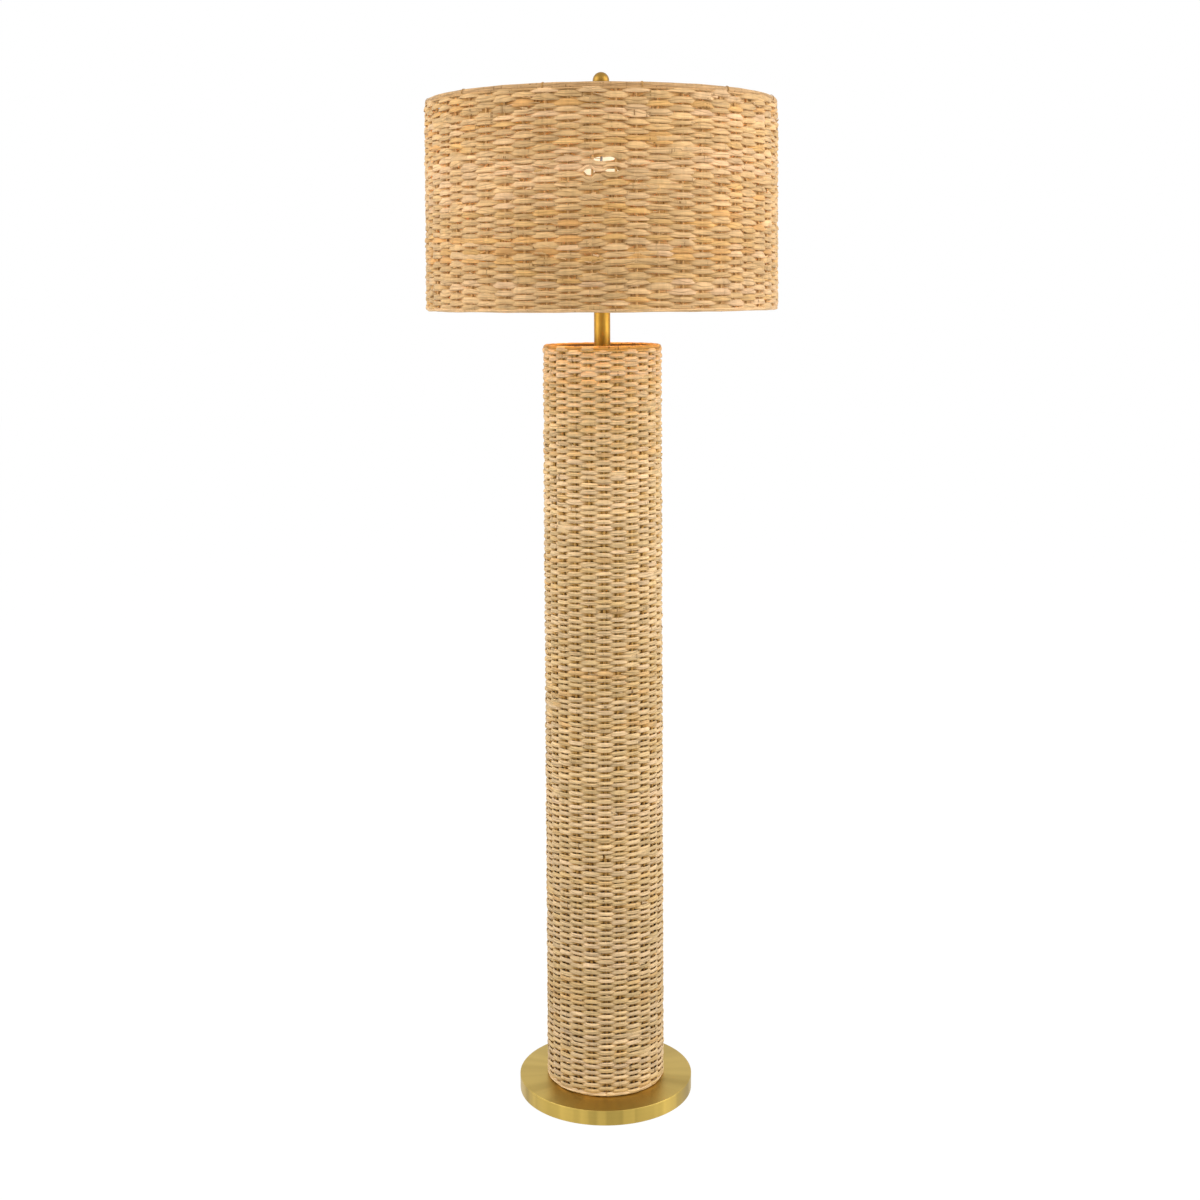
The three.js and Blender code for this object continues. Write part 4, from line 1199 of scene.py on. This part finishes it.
class LAMP_OT_column(bpy.types.Operator):
    """Weave the column and its rims, and set the stakes and the cap plate"""

    bl_idname = "rattan_lamp.column"
    bl_label = "Column"

    def execute(self, context):
        border = 4 * MM
        wall = Wall(context.scene.lamp_column, "column", border, border, seed=11)
        for piece in woven_pieces(wall, "column_weave_rows", count=3, bay_steps=6):
            dress(piece, column_cane(), "root", "column_rattan", "column_weave")
        stakes = woven_stakes(wall, "column_stakes_cane", depth=0.8)
        dress(stakes, column_stake_cane(), "root", "rattan_stake", "column_stakes")

        rng = np.random.default_rng(seed=12)
        (foot, top), (wide, narrow) = wall.ends, wall.widths
        rim, inset, half_wide, half_tall = Strands(sides=8), 4.3 * MM, 3.4 * MM, 3.7 * MM
        rim_radius, rim_level = narrow - inset, top - inset
        smooth_border(rim, rng, rim_radius, rim_level, half_wide, half_tall, steps=320, hue=1.0, tone=0.4)
        # Its depth gives the rim part of the painted recess shade.
        top_rim = rim.build("column_top_rim", depth=0.5)
        dress(top_rim, column_rim_cane(), "root", "column_rattan", "column_top_band")
        hem, inset, lift = Strands(sides=8), 4.4 * MM, 3.4 * MM
        offset, thick, twist = 1.7 * MM, 2.6 * MM, 130 * MM
        rope_border(hem, rng, wide - inset, foot + lift, offset, thick, twist, flat=0.75, steps=320)
        dress(hem.build("column_foot_rim"), column_cane(), "root", "column_rattan", "column_bottom_band")
        ends = stray_ends(wall, "column_stray_ends", count=320, reach=1.0 * MM, seed=13)
        dress(ends, column_cane(), "root", "column_rattan")

        # Painted shade: a dark sleeve inside the column stands for the shade seen there through the gaps.
        sleeve_shade_paint = plain_material("Painted shade sleeve", (0.14, 0.065, 0.018), roughness=0.85, scale=500.0,
                               contrast=0.3)
        dress(dark_shade_sleeve(wall, "column_shade_sleeve"), sleeve_shade_paint, "root", "felt")
        radius, low, high = span("column_cap")
        plate, edge = tube_outline(PIPE_HOLE, radius, low, high), 0.5 * MM
        cap = turned("column_cap_plate", rounded(plate, edge))
        dress(cap, spun_brass(), "root", "brass", "column_cap")
        return {"FINISHED"}


def bend_cage(wall, wire, rib):
    """The shade's two wire rings and the six ribs between them."""
    cage = Strands(sides=10)
    low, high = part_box("shade_cage")
    levels = np.linspace(low.z + wire, high.z - wire, 12)
    circles = ((high.x - low.x) / 2 - wire) * wall.radius(levels) / wall.radius(levels[0])
    turn = full_turn(steps=208)
    for level, circle in ((levels[0], circles[0]), (levels[-1], circles[-1])):
        cage.tube(polar(turn, circle, level), wire, closed=True, out=outward(turn))
    for index in range(6):
        cage.tube(polar(math.pi / 6 + TAU * index / 6, circles, levels), rib)
    dress(cage.build("shade_cage_wire"), steel(), "shade", "steel", "shade_cage")


def bend_spider(wire):
    """The three arms that carry the shade, and the flat hub that sits on the harp's stud."""
    low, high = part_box("shade_spider")
    hub_gap, hub_thickness, hub_radius, hole = 1 * MM, 2 * MM, 9 * MM, 3.4 * MM
    arm_start, tip_gap, edge = 7.6 * MM, 0.5 * MM, 0.5 * MM
    hub_foot = low.z + hub_gap
    hub_middle = hub_foot + hub_thickness / 2
    tip = (high.x - low.x) / 2 / math.cos(math.pi / 6)
    reach = np.linspace(arm_start, tip - tip_gap, 14)
    rise = hub_middle + (high.z - wire - hub_middle) * (reach / tip)
    spider = Strands(sides=12)
    for index in range(3):
        spider.tube(polar(math.pi / 6 + TAU * index / 3, reach, rise), wire * 0.98)
    dress(spider.build("shade_spider_arms"), brass(), "shade", "brass", "shade_spider")
    hub = tube_outline(hole, hub_radius, hub_foot, hub_foot + hub_thickness)
    dress(turned("shade_spider_hub", rounded(hub, edge), SMALL_STEPS), brass(), "shade", "brass")


class LAMP_OT_shade(bpy.types.Operator):
    """Weave the drum shade and its borders, and bend its wire cage and spider"""

    bl_idname = "rattan_lamp.shade"
    bl_label = "Shade"

    def execute(self, context):
        foot_border, top_border = 4.6 * MM, 7.4 * MM
        wall = Wall(context.scene.lamp_shade, "shade", foot_border, top_border, seed=21, gaps=BULB_GAPS)
        for piece in woven_pieces(wall, "shade_weave_rows", count=2, bay_steps=8):
            dress(piece, shade_cane(), "shade", "shade_rattan", "shade_weave")
        stakes = woven_stakes(wall, "shade_stakes_cane", depth=0.7, sides=6)
        dress(stakes, shade_stake_cane(), "shade", "rattan_stake", "shade_stakes")

        rng = np.random.default_rng(seed=22)
        (foot, top), (wide, narrow) = wall.ends, wall.widths
        rim, half_wide, half_tall = Strands(sides=12), 3.4 * MM, 3.9 * MM
        inset, drop = 4.2 * MM, 4.6 * MM
        rim_radius, rim_level = narrow - inset, top - drop
        smooth_border(rim, rng, rim_radius, rim_level, half_wide, half_tall, steps=416, hue=0.0, tone=0.1)
        # Its depth gives the rim part of the painted recess shade.
        top_rim = rim.build("shade_top_rim", depth=0.4)
        dress(top_rim, shade_rim_cane(), "shade", "shade_rattan", "shade_top_band")
        ties, tie_wide, tie_tall, first_tie = Strands(sides=8), 4.1 * MM, 4.5 * MM, FRONT - TIE_SHIFT
        for index in range(TIES):
            rim_tie(ties, rim_radius, rim_level, tie_wide, tie_tall, first_tie + TAU * (index + 0.5) / TIES)
        # Depth 0.8 darkens the ties with the painted hollow shade.
        dress(ties.build("shade_rim_ties", depth=0.8), shade_rim_cane(), "shade", "shade_rattan")
        hem, inset, lift = Strands(sides=10), 4.4 * MM, 2.9 * MM
        offset, thick, twist = 1.7 * MM, 2.5 * MM, 420 * MM
        rope_border(hem, rng, wide - inset, foot + lift, offset, thick, twist, flat=0.7, steps=624)
        dress(hem.build("shade_foot_rim"), shade_cane(), "shade", "shade_rattan", "shade_bottom_band")
        ends = stray_ends(wall, "shade_stray_ends", count=700, reach=1.2 * MM, seed=23)
        dress(ends, shade_cane(), "shade", "shade_rattan")

        wire, rib = 2.0 * MM, 1.6 * MM
        bend_cage(wall, wire, rib)
        bend_spider(wire)
        return {"FINISHED"}


# Neck, socket, harp, bulb and finial

class LAMP_OT_neck(bpy.types.Operator):
    """Turn the neck tube with its seat ring and collar"""

    bl_idname = "rattan_lamp.neck"
    bl_label = "Neck"

    def execute(self, context):
        slope, wall, shoulder = 1.2 * MM, 1.2 * MM, 3 * MM
        edge, tube_edge = 0.8 * MM, 0.4 * MM
        radius, low, high = span("neck_seat_ring")
        ring = [(PIPE_HOLE, low), (radius, low), (radius - slope, high), (PIPE_HOLE, high), (PIPE_HOLE, low)]
        seat = turned("neck_seat", rounded(ring, edge), SMALL_STEPS)
        dress(seat, brass(), "root", "brass", "neck_seat_ring")
        radius, low, high = span("neck_tube")
        outline = rounded(tube_outline(radius - wall, radius, low, high), tube_edge)
        # The neck tube takes the brass with the shade's orange light painted into its colour.
        dress(turned("neck_tube_drawn", outline, TUBE_STEPS), orange_lit_brass(), "root", "brass", "neck_tube")
        radius, low, high = span("neck_collar")
        outline = [(PIPE_HOLE, low), (radius, low), (radius, (low + high) / 2), (radius - shoulder, high),
                   (PIPE_HOLE, high), (PIPE_HOLE, low)]
        collar = turned("neck_collar_turned", rounded(outline, edge), SMALL_STEPS)
        dress(collar, brass(), "root", "brass", "neck_collar")
        return {"FINISHED"}


def smooth_path(points, steps):
    """Points along a smooth curve through the given ones."""
    given = np.array(points, float)
    padded = np.concatenate([[2 * given[0] - given[1]], given, [2 * given[-1] - given[-2]]])
    result = []
    for i in range(1, len(padded) - 2):
        a, b, c, d = padded[i - 1:i + 3]
        for t in np.arange(steps) / steps:
            result.append(0.5 * (2 * b + (c - a) * t + (2 * a - 5 * b + 4 * c - d) * t ** 2
                                 + (3 * b - a - 3 * c + d) * t ** 3))
    result.append(given[-1])
    return np.array(result)


def ripple(radius, foot, top, depth, count):
    """The outline of a rolled thread, as rings between two heights."""
    shares = [i / (count * 4) for i in range(count * 4 + 1)]
    return [(radius - depth * 0.5 * (1 - math.cos(share * count * TAU)), foot + (top - foot) * share)
            for share in shares]


class LAMP_OT_harp(bpy.types.Operator):
    """Bend the harp wire and turn its stud and its two locking sleeves"""

    bl_idname = "rattan_lamp.harp"
    bl_label = "Harp"

    def execute(self, context):
        wire, straight_run = 1.9 * MM, 30 * MM
        stud_height, plate_thickness, plate, stud = 16 * MM, 3 * MM, 7 * MM, 3.1 * MM
        thread_gap, thread_depth = 1 * MM, 0.25 * MM
        low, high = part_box("harp")
        sleeve_low, sleeve_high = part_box("harp_sleeve_right")
        half, leg = (high.x - low.x) / 2 - wire, (sleeve_low.x + sleeve_high.x) / 2
        plate_top = high.z - stud_height
        top, straight = plate_top - plate_thickness, low.z + straight_run
        right = [(leg, low.z + straight_run * i / 3) for i in range(4)]
        right += [(half * across, straight + (top - straight) * rise) for across, rise in HARP_BOW_SHARES]
        bow = right + [(0, top)] + [(-x, z) for x, z in reversed(right)]
        path = smooth_path([(x, 0, z) for x, z in bow], steps=10)
        strands = Strands(sides=12)
        strands.tube(path, wire, out=np.tile([0.0, 1.0, 0.0], (len(path), 1)))
        dress(strands.build("harp_bow"), steel(), "root", "steel", "harp")

        thread = [(0, top), (plate, top), (plate, plate_top), (stud, plate_top)]
        thread += ripple(stud, plate_top + thread_gap, high.z - thread_gap, thread_depth, count=14)
        thread += [(stud * 0.7, high.z), (0, high.z)]
        dress(turned("harp_stud", thread, SMALL_STEPS), brass(), "root", "steel")
        bore, edge = 2.2 * MM, 0.5 * MM
        for side in ("left", "right"):
            node = f"harp_sleeve_{side}"
            low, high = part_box(node)
            outline = rounded(tube_outline(bore, (high.x - low.x) / 2, low.z, high.z), edge)
            place = Matrix.Translation(((low.x + high.x) / 2, 0, 0))
            sleeve = turned(f"{node}_turned", outline, SLEEVE_STEPS, place)
            dress(sleeve, brass(), f"sleeve_{side}", "brass", node)
        return {"FINISHED"}


def shape_switch():
    """Turn the switch's shaft and shape its knob, with a flat paddle to grip."""
    low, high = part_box("switch_shaft")
    centre, radius, run, edge = (low.z + high.z) / 2, (high.z - low.z) / 2, high.y - low.y, 0.3 * MM
    rod = rounded([(0, 0), (radius, 0), (radius, run), (0, run)], edge)
    shaft = turned("switch_shaft_rod", rod, ROD_STEPS, along_y(low.y, centre))
    dress(shaft, brass(), "switch", "brass", "switch_shaft")

    low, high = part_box("switch_knob")
    run, edge = high.y - low.y, 0.8 * MM
    hub, draft, bore, depth = 4.6 * MM, 0.6 * MM, 1.9 * MM, 6 * MM
    outline = [(0, 0), (hub - draft, 0), (hub, run), (bore, run), (bore, run - depth), (0, run - depth)]
    knob = turned("switch_knob_hub", rounded(outline, edge), SLEEVE_STEPS, along_y(low.y, centre))
    dress(knob, black_plastic(), "switch", "black_plastic", "switch_knob")

    half, thick, end_gap, rings = (high.x - low.x) / 2, 2.5 * MM, 0.4 * MM, 9
    levels = np.linspace(low.y, high.y - end_gap, rings)
    ease = np.sqrt(np.clip(1 - ((levels - levels.mean()) / (run * 0.62)) ** 2, 0.2, 1))
    path = np.stack([np.zeros(rings), levels, np.full(rings, centre)], 1)
    paddle = Strands(sides=20)
    paddle.tube(path, half * ease, thick * ease, out=np.tile([1.0, 0.0, 0.0], (rings, 1)))
    dress(paddle.build("switch_knob_paddle"), black_plastic(), "switch", "black_plastic")


class LAMP_OT_socket(bpy.types.Operator):
    """Turn the brass socket shells and shape the switch knob"""

    bl_idname = "rattan_lamp.socket"
    bl_label = "Socket"

    def execute(self, context):
        wall, hub, neck_height, flare_height, bend = 0.8 * MM, 8 * MM, 6 * MM, 14 * MM, 2.2 * MM
        radius, low, high = span("socket_cap")
        neck, flare = low + neck_height, low + flare_height
        outline = [
            (PIPE_HOLE, low), (hub, low), (hub, neck), (radius, flare), (radius, high), (radius - wall, high),
            (radius - wall, flare + wall), (hub, neck + wall), (PIPE_HOLE, neck + wall), (PIPE_HOLE, low),
        ]
        cap = turned("socket_cap_spun", rounded(outline, bend, steps=4), TUBE_STEPS)
        dress(cap, brass(), "root", "brass", "socket_cap")
        lip_foot, lip_height, lip, edge = 2 * MM, 1 * MM, 0.4 * MM, 0.3 * MM
        radius, low, high = span("socket_shell")
        bead = [(radius, low + (high - low) * share) for share in (0.0, 0.04, 0.08, 0.12)]
        outline = [
            (radius - wall, low), *bead, (radius, high - lip_foot), (radius - lip, high - lip_height),
            (radius, high), (radius - wall, high), (radius - wall, low),
        ]
        shell = turned("socket_shell_spun", rounded(outline, edge), TUBE_STEPS)
        dress(shell, brass(), "root", "brass", "socket_shell")
        shape_switch()
        return {"FINISHED"}


def bulb_glass_material(glow):
    """Frosted glass lit from inside, hottest where it is seen face on."""
    material, nodes, shader = blank_material("Frosted bulb glass")
    mist = nodes.noise(nodes.place(), 38.0, 2, 0.5)
    cloud = nodes.remap(mist, 0.3, 0.7)
    edge = nodes.add("ShaderNodeLayerWeight", {"Blend": 0.4}).outputs["Facing"]
    hot = nodes.mix(cloud, (1.0, 0.86, 0.6), (1.0, 0.83, 0.54))
    nodes.feed(shader.inputs, {
        "Base Color": nodes.mix(cloud, (0.12, 0.1, 0.06), (0.1, 0.08, 0.045)),
        "Roughness": nodes.remap(mist, 0.3, 0.7, 0.28, 0.4),
        "Emission Color": nodes.mix(nodes.remap(edge, 0.25, 0.9), hot, darker(glow, 0.8)),
        "Emission Strength": 1.0,
    })
    return material


def bulb_outline(low, high, globe, neck, neck_end):
    """The outside of a bulb: a straight neck, a flowing shoulder and a round globe."""
    centre, shoulder = high - globe, -math.pi / 7
    meet = (globe * math.cos(shoulder), centre + globe * math.sin(shoulder))
    lift = (meet[1] - neck_end) / 2
    pull = (meet[0] + lift * math.sin(shoulder), meet[1] - lift * math.cos(shoulder))
    knots = ((neck, neck_end), (neck, neck_end + lift), pull, meet)
    outline = [(neck, low), (neck, neck_end)]
    for t in (i / 12 for i in range(1, 13)):
        weights = ((1 - t) ** 3, 3 * t * (1 - t) ** 2, 3 * t * t * (1 - t), t ** 3)
        outline.append(tuple(sum(w * k[axis] for w, k in zip(weights, knots)) for axis in (0, 1)))
    for i in range(1, 20):
        turn = shoulder + (math.pi / 2 - shoulder) * i / 20
        outline.append((globe * math.cos(turn), centre + globe * math.sin(turn)))
    return outline + [(0, centre + globe)]


class LAMP_OT_bulb(bpy.types.Operator):
    """Blow the frosted bulb, turn its screw cap and light it"""

    bl_idname = "rattan_lamp.bulb"
    bl_label = "Bulb"

    def execute(self, context):
        setting = context.scene.lamp_light
        low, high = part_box("bulb_glass")
        neck, neck_height, wall = 12.1 * MM, 20 * MM, 0.8 * MM
        globe = (high.y - low.y) / 2
        centre = high.z - globe
        outside = bulb_outline(low.z, high.z, globe, neck, low.z + neck_height)
        inside = []
        for radius, level in reversed(outside):
            crown = radius < globe / 2 and level > centre
            inside.append((max(0, radius - wall), level - (wall if crown else 0)))
        glass = turned("bulb_glass_blown", outside + inside[:-1] + [(neck - wall, low.z)], TUBE_STEPS)
        dress(glass, bulb_glass_material(setting.glow), "bulb", "bulb_glass", "bulb_glass")

        radius, low, high = span("bulb_cap")
        hole, tip, lead, floor, wall = 4.5 * MM, 3 * MM, 0.3 * MM, 3 * MM, 0.6 * MM
        thread_foot, thread_top, thread_depth = 4 * MM, 6 * MM, 0.7 * MM
        outline = [(hole, low), (radius - tip, low), (radius - lead, low + floor)]
        outline += ripple(radius, low + thread_foot, high - thread_top, thread_depth, count=6)
        outline += [(radius, high), (radius - wall, high), (radius - wall, low + floor), (hole, low + floor),
                    (hole, low)]
        dress(turned("bulb_cap_rolled", outline, TUBE_STEPS), aluminium(), "bulb", "aluminium", "bulb_cap")

        lamp = bpy.data.lights.new("Bulb light", "POINT")
        lamp.energy, lamp.color = setting.bulb_power, setting.glow
        lamp.shadow_soft_size = globe * 1.04
        link(bpy.data.objects.new("Bulb light", lamp)).location = (0, 0, centre)
        return {"FINISHED"}


class LAMP_OT_finial(bpy.types.Operator):
    """Turn the ball finial"""

    bl_idname = "rattan_lamp.finial"
    bl_label = "Finial"

    def execute(self, context):
        low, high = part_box("finial")
        foot_radius, step, waist, bore, bore_depth = 7 * MM, 5 * MM, 4.8 * MM, 3.4 * MM, 18 * MM
        ball_gap, edge = 1 * MM, 1 * MM
        ball = (high.y - low.y) / 2
        centre, start = high.z - ball, -math.acos(waist / ball)
        neck = [(bore, low.z), (foot_radius, low.z), (foot_radius, low.z + step), (waist, low.z + 2 * step),
                (waist, centre + ball * math.sin(start) - ball_gap)]
        outline = [(0, low.z + bore_depth), (bore, low.z + bore_depth), *rounded(neck, edge, steps=4)]
        for i in range(24):
            turn = start + (math.pi / 2 - start) * i / 24
            outline.append((ball * math.cos(turn), centre + ball * math.sin(turn)))
        outline.append((0, high.z))
        # The finial's brass is a darker, more orange copy: painted shade and orange light.
        finial_brass = orange_lit_brass("Finial brass", (0.68, 0.55, 0.44))
        dress(turned("finial_turned", outline, TUBE_STEPS), finial_brass, "finial", "brass", "finial")
        return {"FINISHED"}


class LAMP_OT_inner_parts(bpy.types.Operator):
    """Give the parts inside the lamp their materials"""

    bl_idname = "rattan_lamp.inner_parts"
    bl_label = "Inner parts"

    def execute(self, context):
        cast = plain_material("Cast iron", (0.06, 0.06, 0.063), roughness=0.75, scale=120.0,
                              relief=0.8 * MM)
        board = plain_material("Insulating board", (0.42, 0.29, 0.14), roughness=0.8, scale=300.0)
        sheath = plain_material("Lead sheath", (0.2, 0.1, 0.035), roughness=0.45, scale=240.0,
                                relief=0.1 * MM)
        ceramic = plain_material("Filament stem", (0.85, 0.8, 0.7), roughness=0.5, relief=0.1 * MM)
        looks = {
            "base_weight": cast, "base_washer": steel(), "base_nut": brass(), "foot_nut": brass(),
            "cap_nut": brass(), "stem_pipe": steel(), "inner_lead": sheath, "column_foot_plate": steel(),
            "harp_saddle": steel(), "socket_liner": board, "socket_core": black_plastic(),
            "screw_shell": aluminium(), "center_contact": brass(), "terminal_screw_1": brass(),
            "terminal_screw_2": steel(), "bulb_contact": brass(), "bulb_stem": ceramic,
        }
        for node, material in looks.items():
            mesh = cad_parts[node].data
            mesh.materials.clear()
            mesh.materials.append(material)
        return {"FINISHED"}


# Panel and registration

class LAMP_PT_panel(bpy.types.Panel):
    """Lists the lamp's operators and settings"""

    bl_label = "Rattan Lamp"
    bl_idname = "LAMP_PT_panel"
    bl_space_type = "VIEW_3D"
    bl_region_type = "UI"
    bl_category = "Rattan Lamp"

    def draw(self, context):
        for operator in OPERATORS:
            self.layout.operator(operator.bl_idname)
        for name in SETTINGS:
            box = self.layout.box()
            group = getattr(context.scene, name)
            for prop in group.bl_rna.properties:
                if prop.identifier not in ("rna_type", "name"):
                    box.prop(group, prop.identifier)


OPERATORS = (
    LAMP_OT_stage, LAMP_OT_base, LAMP_OT_column, LAMP_OT_neck, LAMP_OT_harp, LAMP_OT_socket, LAMP_OT_bulb,
    LAMP_OT_shade, LAMP_OT_finial, LAMP_OT_inner_parts,
)
SETTINGS = {
    "lamp_column": ColumnSettings, "lamp_shade": ShadeSettings, "lamp_metal": MetalSettings,
    "lamp_light": LightSettings,
}


def register():
    for group in SETTINGS.values():
        bpy.utils.register_class(group)
    for name, group in SETTINGS.items():
        setattr(bpy.types.Scene, name, PointerProperty(type=group))
    for operator in OPERATORS:
        bpy.utils.register_class(operator)
    bpy.utils.register_class(LAMP_PT_panel)


def unregister():
    bpy.utils.unregister_class(LAMP_PT_panel)
    for operator in reversed(OPERATORS):
        bpy.utils.unregister_class(operator)
    for name, group in SETTINGS.items():
        delattr(bpy.types.Scene, name)
        bpy.utils.unregister_class(group)


def main():
    register()
    bpy.ops.rattan_lamp.stage()
    bpy.ops.rattan_lamp.base()
    bpy.ops.rattan_lamp.column()
    bpy.ops.rattan_lamp.neck()
    bpy.ops.rattan_lamp.harp()
    bpy.ops.rattan_lamp.socket()
    bpy.ops.rattan_lamp.bulb()
    bpy.ops.rattan_lamp.shade()
    bpy.ops.rattan_lamp.finial()
    bpy.ops.rattan_lamp.inner_parts()


if __name__ == "__main__":
    main()
